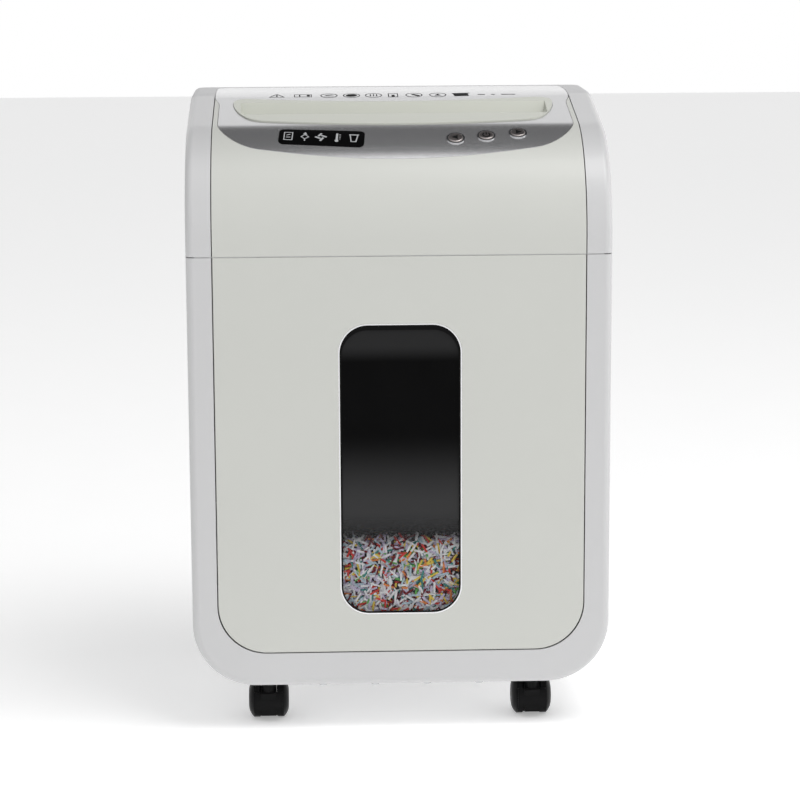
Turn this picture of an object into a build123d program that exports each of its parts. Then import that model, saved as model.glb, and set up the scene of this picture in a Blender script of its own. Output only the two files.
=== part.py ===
from build123d import *
import math
import os

os.makedirs("parts", exist_ok=True)

# ---------------------------------------------------------------- driving dimensions
# X to the right, Y towards the back, Z up. The floor is z = 0.
WIDTH = 342.0
DEPTH = 250.0
HEIGHT = 512.0
UNDERSIDE_Z = 38.0
SEAM_Z = 394.0
SIDE_RIM = 21.0
BOTTOM_RIM = 29.0
WALL = 2.8
LINE = 0.8
EDGE_R = 6.0

HALF_W = WIDTH / 2
FRONT_Y = -DEPTH / 2
BACK_Y = DEPTH / 2
PANEL_X = HALF_W - SIDE_RIM

# side profile of the head: vertical front, brow arc, sloping deck, crest arc, flat top
BROW_R = 90.0
BROW_Y = FRONT_Y + BROW_R
BROW_Z = 405.0
DECK_SLOPE = 11.0
CREST_R = 150.0
SLOPE_RAD = math.radians(DECK_SLOPE)
DECK_RISE = HEIGHT - CREST_R * (1 - math.cos(SLOPE_RAD)) - BROW_Z - BROW_R * math.cos(SLOPE_RAD)
DECK_RUN = DECK_RISE / math.sin(SLOPE_RAD)

# plan positions on top of the head
CHEEK_BACK_Y = 37.0
DECK_BACK_Y = 110.0
DECK_CORNER_R = 14.0
SLIT_Y = -6.0
SLIT_W = 6.0
SLIT_HALF_X = 113.0
THROAT_FOOT_Z = 470.0
BUTTONS = {"reverse": (47.5, -79.5), "power": (72.5, -76.6), "forward": (98.5, -73.1)}
BUTTON_R = 6.0
RING_R = 7.5
LENS_AT = (-61.0, -76.8)
LENS_SIZE = (69.0, 22.5)
LENS_TILT = 4.4

# pull-out bin
DRAWER_BOTTOM_Z = UNDERSIDE_Z + BOTTOM_RIM
DRAWER_CORNER_R = 40.0
SURROUND_CORNER_R = 52.0
WINDOW_SIZE = (100.0, 241.0)
WINDOW_Z = 218.75
WINDOW_R = 24.0
TUB_HALF_X = 134.0
TUB_BACK_Y = 92.0
TUB_BOTTOM_Z = 69.0
TUB_CORNER_R = 28.0
TUB_TOP_Z = 330.0
TUB_WALL = 2.5
HEAP_TOP_Z = 150.0
HEAP_CRUST = 3.0
RAIL_Z = 200.0

# cutter block and drive train; every shaft runs along X
CUTTER_Z = 440.0
CUTTER_SPACING = 30.0
FRONT_CUTTER_Y = SLIT_Y - CUTTER_SPACING / 2
REAR_CUTTER_Y = SLIT_Y + CUTTER_SPACING / 2
SHAFT_R = 6.0
DISC_R = 16.5
DISC_T = 3.7
DISC_PITCH = 8.0
DISC_COUNT = 27
HUB_R = 11.0
PLATE_X = 113.5
PLATE_T = 2.5
MOTOR_YZ = (75.0, 432.0)
MOTOR_R = 25.0
MESH_TEETH, MESH_MODULE = 20, 1.5
DRIVE_TEETH, IDLER_SMALL_TEETH, DRIVE_MODULE = 34, 14, 1.5
IDLER_LARGE_TEETH, PINION_TEETH, PINION_MODULE = 52, 12, 1.0
RUNNING = 0.05

# casters
CASTER_X = 110.0
STEM_YS = {"front": -94.0, "rear": 88.0}
CASTER_TRAIL = 11.0
WHEEL_R = 16.0
WEB_HALF_X = 6.3
WHEEL_IN_X = 6.7
WHEEL_OUT_X = 16.7
AXLE_R = 2.0


def finish(piece, label):
    """Label a finished piece and write its STEP file."""
    piece.part.label = label
    export_step(piece.part, f"parts/{label}.step")


# ---------------------------------------------------------------- shared outlines
def head_face(inset, bottom, back):
    """Side profile of the head, inset from its outer skin, as (Y, Z)."""
    with BuildSketch() as profile:
        with BuildLine():
            front = Line((FRONT_Y + inset, bottom), (FRONT_Y + inset, BROW_Z))
            brow = JernArc(front @ 1, (0, 1), BROW_R - inset, DECK_SLOPE - 90)
            slope = PolarLine(brow @ 1, DECK_RUN, DECK_SLOPE)
            crest = JernArc(slope @ 1, slope % 1, CREST_R - inset, -DECK_SLOPE)
            top = Line(crest @ 1, (back, (crest @ 1).Y))
            rear = Line(top @ 1, (back, bottom))
            Line(rear @ 1, front @ 0)
        make_face()
    return profile.sketch


def head_block(inset, half_x, bottom, back):
    """Solid under the head's profile, centred on X."""
    with BuildPart() as block:
        with BuildSketch(Plane.YZ):
            add(head_face(inset, bottom, back))
        extrude(amount=half_x, both=True)
    return block.part


def head_skin(outer, inner, half_x, back):
    """Curved slab between two parallel profiles of the head."""
    foot = SEAM_Z + LINE / 2
    with BuildPart() as skin:
        add(head_block(outer, half_x, foot, back))
        add(head_block(inner, half_x + 1, foot - 1, back + 1), mode=Mode.SUBTRACT)
    return skin.part


def deck_prism(grow):
    """Upright prism of the deck's plan outline: smile-shaped front, rounded back corners."""
    smile_x, smile_y, tip_y = 112.0, -89.3, -98.0
    side_x, side_y, edge_x = 145.5, -50.0, PANEL_X - LINE / 2
    with BuildPart() as prism:
        with BuildSketch(Plane.XY.offset(SEAM_Z)):
            with BuildLine():
                smile = ThreePointArc((-smile_x, smile_y), (0, tip_y), (smile_x, smile_y))
                turn = TangentArc(smile @ 1, (side_x, side_y), tangent=smile % 1)
                side = Line(turn @ 1, (side_x, 5))
                swing = TangentArc(side @ 1, ((side_x + edge_x) / 2, 18.5), tangent=(0, 1))
                merge = TangentArc(swing @ 1, (edge_x, 32), tangent=swing % 1)
                flank = Line(merge @ 1, (edge_x, DECK_BACK_Y - DECK_CORNER_R))
                corner = JernArc(flank @ 1, (0, 1), DECK_CORNER_R, 90)
                mirror([turn, side, swing, merge, flank, corner], about=Plane.YZ)
                Line(corner @ 1, (-(corner @ 1).X, DECK_BACK_Y))
            make_face()
            if grow:
                offset(amount=grow)
        extrude(amount=HEIGHT)
    return prism.part


def boat_prism(grow):
    """Upright prism of the feed recess outline, a long boat shape."""
    back_x, back_y, nose_r = 120.0, 22.4, 12.0
    shoulder, lip_end, lip_y = (123.0, -33.0), (107.0, -44.7), -54.6
    with BuildPart() as prism:
        with BuildSketch(Plane.XY.offset(SEAM_Z)):
            with BuildLine():
                back = ThreePointArc((-back_x, back_y), (0, 12.7), (back_x, back_y))
                lean = math.degrees(math.atan2((back % 1).Y, (back % 1).X))
                nose = JernArc(back @ 1, back % 1, nose_r, -90 - lean)
                flank = TangentArc(nose @ 1, shoulder, tangent=(0, -1))
                turn = TangentArc(flank @ 1, lip_end, tangent=flank % 1)
                mirror([nose, flank, turn], about=Plane.YZ)
                ThreePointArc(lip_end, (0, lip_y), (-lip_end[0], lip_end[1]))
            make_face()
            if grow:
                offset(amount=grow)
        extrude(amount=HEIGHT)
    return prism.part


def brow_plane(x, y, turn=0.0):
    """Plane lying on the head's brow arc at (x, y), its normal pointing out."""
    angle = math.acos((y - BROW_Y) / BROW_R)
    point = (x, y, BROW_Z + BROW_R * math.sin(angle))
    normal = Vector(0, math.cos(angle), math.sin(angle))
    spin = math.radians(turn)
    across = Vector(math.cos(spin), -math.sin(spin) * math.sin(angle), math.sin(spin) * math.cos(angle))
    return Plane(origin=point, x_dir=across, z_dir=normal)


def throat_block(grow):
    """Funnel of the feed throat: a V across Y that narrows to the slit, closed towards its ends."""
    mouth_z, knee_z, foot_z, high_z = 499.5, 484.0, THROAT_FOOT_Z, 530.0
    section = [
        (24.0, high_z),
        (10.0, 507.0),
        (SLIT_Y + SLIT_W / 2, knee_z),
        (SLIT_Y + SLIT_W / 2, foot_z - 1),
        (SLIT_Y - SLIT_W / 2, foot_z - 1),
        (SLIT_Y - SLIT_W / 2, knee_z),
        (-25.5, mouth_z),
        (-62.0, high_z),
    ]
    length = [
        (-131.0, high_z),
        (-127.0, mouth_z),
        (-SLIT_HALF_X, knee_z),
        (-SLIT_HALF_X, foot_z - 1),
    ]
    with BuildPart() as block:
        with BuildSketch(Plane.YZ):
            Polygon(*section, align=None)
            if grow:
                offset(amount=grow, kind=Kind.INTERSECTION)
        extrude(amount=HALF_W, both=True)
        with BuildSketch(Plane.XZ):
            Polygon(*length, *[(-x, z) for x, z in reversed(length)], align=None)
            if grow:
                offset(amount=grow, kind=Kind.INTERSECTION)
        extrude(amount=HALF_W, both=True, mode=Mode.INTERSECT)
    return block.part


def surround_face(inset, top):
    """Front outline of the lower cabinet: square top, big rounded bottom corners."""
    half, foot, radius = HALF_W - inset, UNDERSIDE_Z + inset, SURROUND_CORNER_R - inset
    with BuildSketch() as face:
        with BuildLine() as outline:
            base = Line((0, foot), (half - radius, foot))
            corner = JernArc(base @ 1, (1, 0), radius, 90)
            side = Line(corner @ 1, (half, top))
            Line(side @ 1, (0, top))
            mirror(outline.line, about=Plane.YZ)
        make_face()
    return face.sketch


def drawer_face(grow, top):
    """Front outline of the drawer or of its opening, grown outwards by grow."""
    half, foot = PANEL_X - LINE / 2 + grow, DRAWER_BOTTOM_Z - grow
    with BuildSketch() as face:
        with BuildLine() as outline:
            base = Line((0, foot), (half - DRAWER_CORNER_R, foot))
            corner = JernArc(base @ 1, (1, 0), DRAWER_CORNER_R, 90)
            side = Line(corner @ 1, (half, top))
            Line(side @ 1, (0, top))
            mirror(outline.line, about=Plane.YZ)
        make_face()
    return face.sketch


def front_plane(y):
    """Upright plane at y whose sketch axes are X and Z and whose normal points back."""
    return Plane(origin=(0, y, 0), x_dir=(-1, 0, 0), z_dir=(0, 1, 0))


# ---------------------------------------------------------------- lower cabinet
cabinet_top = SEAM_Z - LINE / 2
back_panel_y = BACK_Y - EDGE_R

with BuildPart() as cabinet_surround:
    with BuildSketch(front_plane(FRONT_Y)):
        add(surround_face(0, cabinet_top))
    extrude(amount=back_panel_y - FRONT_Y)
    rim_edges = cabinet_surround.faces().sort_by(Axis.Y)[0].edges()
    fillet(rim_edges.filter_by(lambda e: e.center().Z < cabinet_top - 1), radius=EDGE_R)
    with BuildSketch(front_plane(FRONT_Y + 3)):
        add(surround_face(WALL, cabinet_top + 1))
    extrude(amount=DEPTH, mode=Mode.SUBTRACT)
    with BuildSketch(front_plane(FRONT_Y - 1)):
        add(drawer_face(LINE, cabinet_top + 1))
    extrude(amount=5, mode=Mode.SUBTRACT)
    with Locations(*[(side * CASTER_X, y, UNDERSIDE_Z) for side in (-1, 1) for y in STEM_YS.values()]):
        Cylinder(4.5, 10, mode=Mode.SUBTRACT)
finish(cabinet_surround, "cabinet_surround")

SCREW_XZ = [(side * 140, z) for side in (-1, 1) for z in (110, 240, 370)]

with BuildPart() as back_panel:
    with BuildSketch(front_plane(back_panel_y)):
        add(surround_face(0, cabinet_top))
    extrude(amount=EDGE_R)
    rear_edges = back_panel.faces().sort_by(Axis.Y)[-1].edges()
    fillet(rear_edges.filter_by(lambda e: e.center().Z < cabinet_top - 1), radius=EDGE_R - 0.5)
    with BuildSketch(front_plane(back_panel_y - 1)):
        add(surround_face(EDGE_R + WALL, cabinet_top - 6))
    extrude(amount=EDGE_R - 2)
    with BuildSketch(front_plane(back_panel_y - 2)):
        add(surround_face(EDGE_R + WALL + 2, cabinet_top - 8))
    extrude(amount=EDGE_R - 1, mode=Mode.SUBTRACT)
    with BuildSketch(front_plane(back_panel_y - 2)):
        with Locations(*[(-x, z) for x, z in SCREW_XZ]):
            Circle(2.0)
    extrude(amount=DEPTH, mode=Mode.SUBTRACT)
    with BuildSketch(front_plane(BACK_Y - 1.4)):
        with Locations(*[(-x, z) for x, z in SCREW_XZ]):
            Circle(4.6)
    extrude(amount=5, mode=Mode.SUBTRACT)
finish(back_panel, "back_panel")

base_top = UNDERSIDE_Z + WALL + 3
socket_top = 60.0
with BuildPart() as base_plate:
    with Locations((0, -1.5, UNDERSIDE_Z + WALL)):
        Box(236, 236, 3, align=(Align.CENTER, Align.CENTER, Align.MIN))
    caster_spots = [(side * CASTER_X, y) for side in (-1, 1) for y in STEM_YS.values()]
    with BuildSketch(Plane.XY.offset(base_top)):
        with Locations(*caster_spots):
            Circle(8)
    extrude(amount=socket_top - base_top)
    with BuildSketch(Plane.XY.offset(UNDERSIDE_Z)):
        with Locations(*caster_spots):
            Circle(4)
    extrude(amount=DEPTH, mode=Mode.SUBTRACT)
    with BuildSketch(Plane.XY.offset(base_top)):
        with Locations((0, -60), (0, 0), (0, 60)):
            Rectangle(200, 3)
    extrude(amount=6)
finish(base_plate, "base_plate")

with BuildPart() as slide_rails:
    for side in (-1, 1):
        with Locations((side * 153, -2, RAIL_Z)):
            Box(30.4, 224, 16)
        with Locations((side * 141.5, -2 - 10, RAIL_Z)):
            Box(8.6, 224, 6.6, mode=Mode.SUBTRACT)
finish(slide_rails, "slide_rails")

with BuildPart() as rear_screws:
    with BuildSketch(front_plane(BACK_Y - 1.4)):
        with Locations(*[(-x, z) for x, z in SCREW_XZ]):
            Circle(4.2)
    extrude(amount=1.2)
    with BuildSketch(front_plane(back_panel_y - 2)):
        with Locations(*[(-x, z) for x, z in SCREW_XZ]):
            Circle(1.9)
    extrude(amount=BACK_Y - 1.4 - back_panel_y + 2)
    with BuildSketch(front_plane(BACK_Y - 0.9)):
        with Locations(*[(-x, z) for x, z in SCREW_XZ]):
            Rectangle(5, 1)
            Rectangle(1, 5)
    extrude(amount=2, mode=Mode.SUBTRACT)
finish(rear_screws, "rear_screws")

STUD_PITCH = 43.0
with BuildPart() as underside_screws:
    with BuildSketch(Plane.XY.offset(UNDERSIDE_Z)):
        with Locations((0, FRONT_Y + 12)):
            with GridLocations(STUD_PITCH, 1, 4, 1):
                Circle(3.2)
    extrude(amount=-2.2)
finish(underside_screws, "underside_screws")

# ---------------------------------------------------------------- head shells
cheek_x = PANEL_X + LINE / 2
head_foot = SEAM_Z + LINE / 2


def cheek_block(side, inset, start_x):
    """Side slice of the head from start_x outwards, cut off at the cheek's back line."""
    foot = head_foot + inset
    with BuildPart() as block:
        with BuildSketch(Plane.YZ.offset(side * start_x)):
            add(head_face(inset, foot, BACK_Y))
        extrude(amount=side * (HALF_W - inset - start_x))
        with Locations((0, CHEEK_BACK_Y - inset, 0)):
            Box(2 * WIDTH, DEPTH, 3 * HEIGHT, align=(Align.CENTER, Align.MIN, Align.CENTER), mode=Mode.SUBTRACT)
    return block.part


def cheek(side):
    """Side cover of the head: outer wall with a rounded rim, open towards the middle."""
    with BuildPart() as piece:
        add(cheek_block(side, 0, cheek_x))
        outer = piece.faces().sort_by(Axis.X)[-1 if side > 0 else 0]
        rim = outer.edges().filter_by(lambda e: e.center().Z > head_foot + 1 and e.center().Y < CHEEK_BACK_Y - 1)
        fillet(rim, radius=EDGE_R)
        add(cheek_block(side, WALL, cheek_x - 1), mode=Mode.SUBTRACT)
    return piece


left_cheek = cheek(-1)
right_cheek = cheek(1)
finish(left_cheek, "left_cheek")
finish(right_cheek, "right_cheek")

rear_from = CHEEK_BACK_Y + 0.3
REAR_CORNER_R = 12.0


def rear_block(inset, foot, start):
    """Rear half of the head with rounded upright corners."""
    with BuildPart() as block:
        add(head_block(inset, HALF_W - inset, foot, BACK_Y - inset))
        with Locations((0, start, 0)):
            Box(2 * WIDTH, DEPTH, 3 * HEIGHT, align=(Align.CENTER, Align.MAX, Align.CENTER), mode=Mode.SUBTRACT)
        uprights = block.edges().filter_by(Axis.Z).filter_by(lambda e: e.center().Y > BACK_Y - inset - 1)
        fillet(uprights, radius=REAR_CORNER_R - inset)
    return block.part


INLET_AT = (-118.0, 424.0)
INLET_SIZE = (28.0, 21.0)
REAR_VENTS = [20 + 9 * i for i in range(11)]

with BuildPart() as head_rear_cover:
    add(rear_block(0, head_foot, rear_from))
    hoop = head_rear_cover.edges().filter_by(
        lambda e: e.center().Z > HEIGHT - 4 and (abs(e.center().X) > PANEL_X or e.center().Y > BACK_Y - 1)
    )
    fillet(hoop.filter_by(lambda e: e.center().Y > rear_from + 0.5), radius=EDGE_R)
    add(rear_block(WALL, head_foot - 1, rear_from - 1), mode=Mode.SUBTRACT)
    add(deck_prism(LINE / 2), mode=Mode.SUBTRACT)
    with BuildSketch(front_plane(BACK_Y - 10)):
        with Locations(*[(-x, 452) for x in REAR_VENTS]):
            SlotOverall(42, 4, rotation=90)
        with Locations((-INLET_AT[0], INLET_AT[1])):
            Rectangle(*INLET_SIZE)
    extrude(amount=20, mode=Mode.SUBTRACT)
finish(head_rear_cover, "head_rear_cover")

with BuildPart() as power_inlet:
    with BuildSketch(front_plane(BACK_Y - 22)):
        with Locations((-INLET_AT[0], INLET_AT[1])):
            Rectangle(*INLET_SIZE)
    extrude(amount=22 - WALL)
    with BuildSketch(front_plane(BACK_Y - WALL)):
        with Locations((-INLET_AT[0], INLET_AT[1])):
            Rectangle(INLET_SIZE[0] - 0.6, INLET_SIZE[1] - 0.6)
    extrude(amount=WALL - 0.4)
    with BuildSketch(front_plane(BACK_Y - 17)):
        with Locations((-INLET_AT[0], INLET_AT[1])):
            RectangleRounded(22.7, 15.5, 3)
    extrude(amount=30, mode=Mode.SUBTRACT)
    with BuildSketch(front_plane(BACK_Y - 18)):
        with Locations(*[(-INLET_AT[0] + x, INLET_AT[1] + z) for x, z in ((-7, -2), (0, 2), (7, -2))]):
            Rectangle(2, 4)
    extrude(amount=14)
finish(power_inlet, "power_inlet")

with BuildPart() as head_front_panel:
    add(head_skin(0, WALL, PANEL_X - LINE / 2, BACK_Y))
    with Locations((0, 34, 0)):
        Box(2 * WIDTH, DEPTH, 3 * HEIGHT, align=(Align.CENTER, Align.MIN, Align.CENTER), mode=Mode.SUBTRACT)
    add(deck_prism(LINE / 2), mode=Mode.SUBTRACT)
finish(head_front_panel, "head_front_panel")


def lens_prism(grow, low, high):
    """Rounded bar on the brow, from low to high along the surface normal."""
    with BuildPart() as prism:
        with BuildSketch(brow_plane(*LENS_AT, LENS_TILT).offset(low)):
            RectangleRounded(LENS_SIZE[0] + 2 * grow, LENS_SIZE[1] + 2 * grow, 4.5 + grow)
        extrude(amount=high - low)
    return prism.part


with BuildPart() as top_deck:
    add(head_skin(0, WALL, PANEL_X, DECK_BACK_Y + 1))
    add(deck_prism(0), mode=Mode.INTERSECT)
    add(boat_prism(0.3), mode=Mode.SUBTRACT)
    add(lens_prism(0.3, -6, 6), mode=Mode.SUBTRACT)
    for spot in BUTTONS.values():
        with BuildSketch(brow_plane(*spot).offset(-8)):
            Circle(RING_R + 0.05)
        extrude(amount=16, mode=Mode.SUBTRACT)
finish(top_deck, "top_deck")

with BuildPart() as indicator_lens:
    add(head_skin(-0.4, 2.2, PANEL_X, BACK_Y))
    add(lens_prism(0, -6, 6), mode=Mode.INTERSECT)
finish(indicator_lens, "indicator_lens")

with BuildPart() as funnel:
    add(throat_block(2.5))
    add(head_block(-1.0, PANEL_X, head_foot, BACK_Y), mode=Mode.INTERSECT)
    with Locations((0, 0, THROAT_FOOT_Z)):
        Box(WIDTH, DEPTH, 50, align=(Align.CENTER, Align.CENTER, Align.MAX), mode=Mode.SUBTRACT)
    add(boat_prism(-0.6), mode=Mode.INTERSECT)

with BuildPart() as slot_insert:
    add(head_skin(-1.0, 1.8, PANEL_X, BACK_Y))
    add(boat_prism(0), mode=Mode.INTERSECT)
    add(funnel.part)
    add(throat_block(0), mode=Mode.SUBTRACT)
finish(slot_insert, "slot_insert")

with BuildPart() as button_rings:
    for spot in BUTTONS.values():
        with BuildSketch(brow_plane(*spot).offset(-WALL)):
            Circle(RING_R)
            Circle(BUTTON_R + 0.35, mode=Mode.SUBTRACT)
        extrude(amount=WALL + 0.7)
finish(button_rings, "button_rings")

for label, spot in BUTTONS.items():
    with BuildPart() as button:
        with BuildSketch(brow_plane(*spot).offset(-6)):
            Circle(BUTTON_R)
        extrude(amount=7.4)
        crown = button.edges().filter_by(GeomType.CIRCLE).sort_by(Axis.Z).group_by(Axis.Z)[-1]
        fillet(crown, radius=1.0)
    finish(button, f"{label}_button")

# ---------------------------------------------------------------- drawer
lens_y = FRONT_Y + 1.4
with BuildPart() as drawer_front:
    with BuildSketch(front_plane(FRONT_Y)):
        add(drawer_face(0, cabinet_top))
    extrude(amount=3.8)
    front_edges = drawer_front.faces().sort_by(Axis.Y)[0].edges()
    fillet(front_edges, radius=0.7)
    with BuildSketch(front_plane(FRONT_Y - 1)):
        with Locations((0, WINDOW_Z)):
            RectangleRounded(WINDOW_SIZE[0], WINDOW_SIZE[1], WINDOW_R)
    extrude(amount=10, mode=Mode.SUBTRACT)
    with BuildSketch(front_plane(FRONT_Y + 3.8)):
        add(drawer_face(-6, cabinet_top - 6))
        add(drawer_face(-9, cabinet_top - 9), mode=Mode.SUBTRACT)
    extrude(amount=1.2)
finish(drawer_front, "drawer_front")

TOP_REVEAL_DROP = 1.45
with BuildPart() as window_rim:
    with BuildSketch(front_plane(FRONT_Y)):
        with Locations((0, WINDOW_Z)):
            RectangleRounded(WINDOW_SIZE[0] - 0.2, WINDOW_SIZE[1] - 0.2, WINDOW_R)
            RectangleRounded(WINDOW_SIZE[0] - 2.4, WINDOW_SIZE[1] - 2.4, WINDOW_R - 1.1, mode=Mode.SUBTRACT)
    extrude(amount=3.6)
finish(window_rim, "window_rim")

with BuildPart() as window_gasket:
    with BuildSketch(front_plane(FRONT_Y + 0.6)):
        with Locations((0, WINDOW_Z)):
            RectangleRounded(WINDOW_SIZE[0] - 2.6, WINDOW_SIZE[1] - 2.6, WINDOW_R - 1.2)
        with Locations((0, WINDOW_Z - TOP_REVEAL_DROP)):
            RectangleRounded(WINDOW_SIZE[0] - 5.2, WINDOW_SIZE[1] - 7.8, WINDOW_R - 3, mode=Mode.SUBTRACT)
    extrude(amount=0.7)
finish(window_gasket, "window_gasket")

with BuildPart() as window_lens:
    with BuildSketch(front_plane(lens_y)):
        with Locations((0, WINDOW_Z)):
            RectangleRounded(WINDOW_SIZE[0] - 2.6, WINDOW_SIZE[1] - 2.6, WINDOW_R - 1.2)
    extrude(amount=2.2)
finish(window_lens, "window_lens")

tub_front_y = FRONT_Y + 5.3


def tub_block(inset, top):
    """Solid that fills the bin's tub, inset from its outer skin. Its lower corners clear the drawer opening."""
    half, foot, corner_r = TUB_HALF_X - inset, TUB_BOTTOM_Z + inset, TUB_CORNER_R - inset
    with BuildPart() as block:
        with BuildSketch(front_plane(tub_front_y + inset)):
            with BuildLine() as outline:
                base = Line((0, foot), (half - corner_r, foot))
                corner = JernArc(base @ 1, (1, 0), corner_r, 90)
                side = Line(corner @ 1, (half, top))
                Line(side @ 1, (0, top))
                mirror(outline.line, about=Plane.YZ)
            make_face()
        extrude(amount=TUB_BACK_Y - tub_front_y - 2 * inset)
    return block.part


with BuildPart() as bin_tub:
    add(tub_block(0, TUB_TOP_Z))
    add(tub_block(TUB_WALL, TUB_TOP_Z + 1), mode=Mode.SUBTRACT)
    with BuildSketch(front_plane(tub_front_y - 1)):
        with Locations((0, TUB_TOP_Z)):
            Rectangle(WINDOW_SIZE[0] + 6, 2 * (TUB_TOP_Z - 94))
    extrude(amount=TUB_WALL + 2, mode=Mode.SUBTRACT)
    with Locations((100, TUB_BACK_Y, 306)):
        Box(10, 11, 8, align=(Align.CENTER, Align.MIN, Align.CENTER))
finish(bin_tub, "bin_tub")

with BuildPart() as bin_runners:
    for side in (-1, 1):
        with Locations((side * (TUB_HALF_X + 5.5), -12, RAIL_Z)):
            Box(11, 200, 6)
finish(bin_runners, "bin_runners")

heap_clear = TUB_WALL + 0.5
with BuildPart() as shred_heap:
    add(tub_block(heap_clear, HEAP_TOP_Z))
    fillet(shred_heap.faces().sort_by(Axis.Z)[-1].edges(), radius=6)
    add(tub_block(heap_clear + HEAP_CRUST, HEAP_TOP_Z - HEAP_CRUST), mode=Mode.SUBTRACT)
    with Locations((0, (tub_front_y + TUB_BACK_Y) / 2, TUB_BOTTOM_Z)):
        Box(
            2 * (TUB_HALF_X - TUB_CORNER_R),
            TUB_BACK_Y - tub_front_y - 2 * (heap_clear + HEAP_CRUST),
            20,
            mode=Mode.SUBTRACT,
        )
finish(shred_heap, "shred_heap")

with BuildPart() as bin_switch:
    with Locations((100, back_panel_y - 1, 306)):
        Box(20, 11, 26, align=(Align.CENTER, Align.MAX, Align.CENTER))
    with Locations((100, back_panel_y - 12, 306)):
        Box(6, 2.2, 4, align=(Align.CENTER, Align.MAX, Align.CENTER))
finish(bin_switch, "bin_switch")

# ---------------------------------------------------------------- cutter block
with BuildPart() as head_base_frame:
    with Locations((0, 0, head_foot + 0.6)):
        Box(292, 234, 3.5, align=(Align.CENTER, Align.CENTER, Align.MIN))
    with Locations((0, SLIT_Y, head_foot)):
        Box(222, 70, 10, mode=Mode.SUBTRACT)
finish(head_base_frame, "head_base_frame")
frame_top = head_foot + 4.1


def cutter_plate(x, back):
    """Upright steel plate with two bush holes."""
    plate_from = FRONT_CUTTER_Y - 25
    with BuildPart() as plate:
        with Locations((x, plate_from, frame_top)):
            Box(PLATE_T, back - plate_from, 70, align=(Align.MIN, Align.MIN, Align.MIN))
        with BuildSketch(Plane.YZ.offset(x - 1)):
            with Locations((FRONT_CUTTER_Y, CUTTER_Z), (REAR_CUTTER_Y, CUTTER_Z)):
                Circle(9)
            if back > MOTOR_YZ[0]:
                with Locations(MOTOR_YZ, IDLER_YZ):
                    Circle(4 + RUNNING)
        extrude(amount=PLATE_T + 2, mode=Mode.SUBTRACT)
    return plate


def idler_centre():
    """Idler shaft position: where both gear centre distances meet, above the line of centres."""
    to_cutter = DRIVE_MODULE * (DRIVE_TEETH + IDLER_SMALL_TEETH) / 2
    to_motor = PINION_MODULE * (IDLER_LARGE_TEETH + PINION_TEETH) / 2
    dy, dz = MOTOR_YZ[0] - REAR_CUTTER_Y, MOTOR_YZ[1] - CUTTER_Z
    span = math.hypot(dy, dz)
    along = (to_cutter**2 - to_motor**2 + span**2) / (2 * span)
    rise = math.sqrt(to_cutter**2 - along**2)
    return (REAR_CUTTER_Y + (along * dy - rise * dz) / span, CUTTER_Z + (along * dz + rise * dy) / span)


IDLER_YZ = idler_centre()
with BuildPart() as cutter_plates:
    add(cutter_plate(-PLATE_X - PLATE_T, REAR_CUTTER_Y + 27).part)
    add(cutter_plate(PLATE_X, 104.0).part)
finish(cutter_plates, "cutter_plates")

with BuildPart() as cutter_bushes:
    for x in (-PLATE_X - PLATE_T - 0.5, PLATE_X - 0.5):
        with BuildSketch(Plane.YZ.offset(x)):
            with Locations((FRONT_CUTTER_Y, CUTTER_Z), (REAR_CUTTER_Y, CUTTER_Z)):
                Circle(9)
                Circle(SHAFT_R + RUNNING, mode=Mode.SUBTRACT)
        extrude(amount=PLATE_T + 1)
finish(cutter_bushes, "cutter_bushes")

with BuildPart() as tie_rods:
    with BuildSketch(Plane.YZ.offset(-PLATE_X)):
        with Locations((-43, 405), (-43, 464), (30, 405), (30, 464)):
            Circle(2.5)
    extrude(amount=2 * PLATE_X)
finish(tie_rods, "tie_rods")


def cutter_shaft(y, end_x):
    """Plain ground shaft."""
    with BuildPart() as shaft:
        with BuildSketch(Plane.YZ.offset(-PLATE_X - PLATE_T - 2)):
            with Locations((y, CUTTER_Z)):
                Circle(SHAFT_R)
        extrude(amount=end_x + PLATE_X + PLATE_T + 2)
    return shaft


def cutter_discs(y, first_x):
    """Row of toothed cutting discs, each with a spacer hub on its right."""
    with BuildPart() as discs:
        for i in range(DISC_COUNT):
            x = first_x + DISC_PITCH * i
            with BuildSketch(Plane.YZ.offset(x)):
                with Locations((y, CUTTER_Z)):
                    Circle(DISC_R)
                    with PolarLocations(DISC_R, 3, start_angle=20 * i):
                        Circle(1.6, mode=Mode.SUBTRACT)
                    Circle(SHAFT_R, mode=Mode.SUBTRACT)
            extrude(amount=DISC_T)
            with BuildSketch(Plane.YZ.offset(x + DISC_T)):
                with Locations((y, CUTTER_Z)):
                    Circle(HUB_R)
                    Circle(SHAFT_R, mode=Mode.SUBTRACT)
            extrude(amount=DISC_PITCH - DISC_T - 0.1)
    return discs


front_cutter_shaft = cutter_shaft(FRONT_CUTTER_Y, 126.0)
rear_cutter_shaft = cutter_shaft(REAR_CUTTER_Y, 147.0)
front_cutter_discs = cutter_discs(FRONT_CUTTER_Y, -110.0)
rear_cutter_discs = cutter_discs(REAR_CUTTER_Y, -106.0)
finish(front_cutter_shaft, "front_cutter_shaft")
finish(rear_cutter_shaft, "rear_cutter_shaft")
finish(front_cutter_discs, "front_cutter_discs")
finish(rear_cutter_discs, "rear_cutter_discs")


def stripper(y_bar, y_tip, first_x):
    """Comb that clears shreds: a bar with one finger in each gap between discs."""
    with BuildPart() as comb:
        with Locations((0, y_bar, CUTTER_Z)):
            Box(2 * PLATE_X, 4, 12)
        with Locations(*[(first_x + DISC_PITCH * i, (y_bar + y_tip) / 2, CUTTER_Z) for i in range(DISC_COUNT)]):
            Box(3.0, abs(y_bar - y_tip), 7)
    return comb


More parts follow.
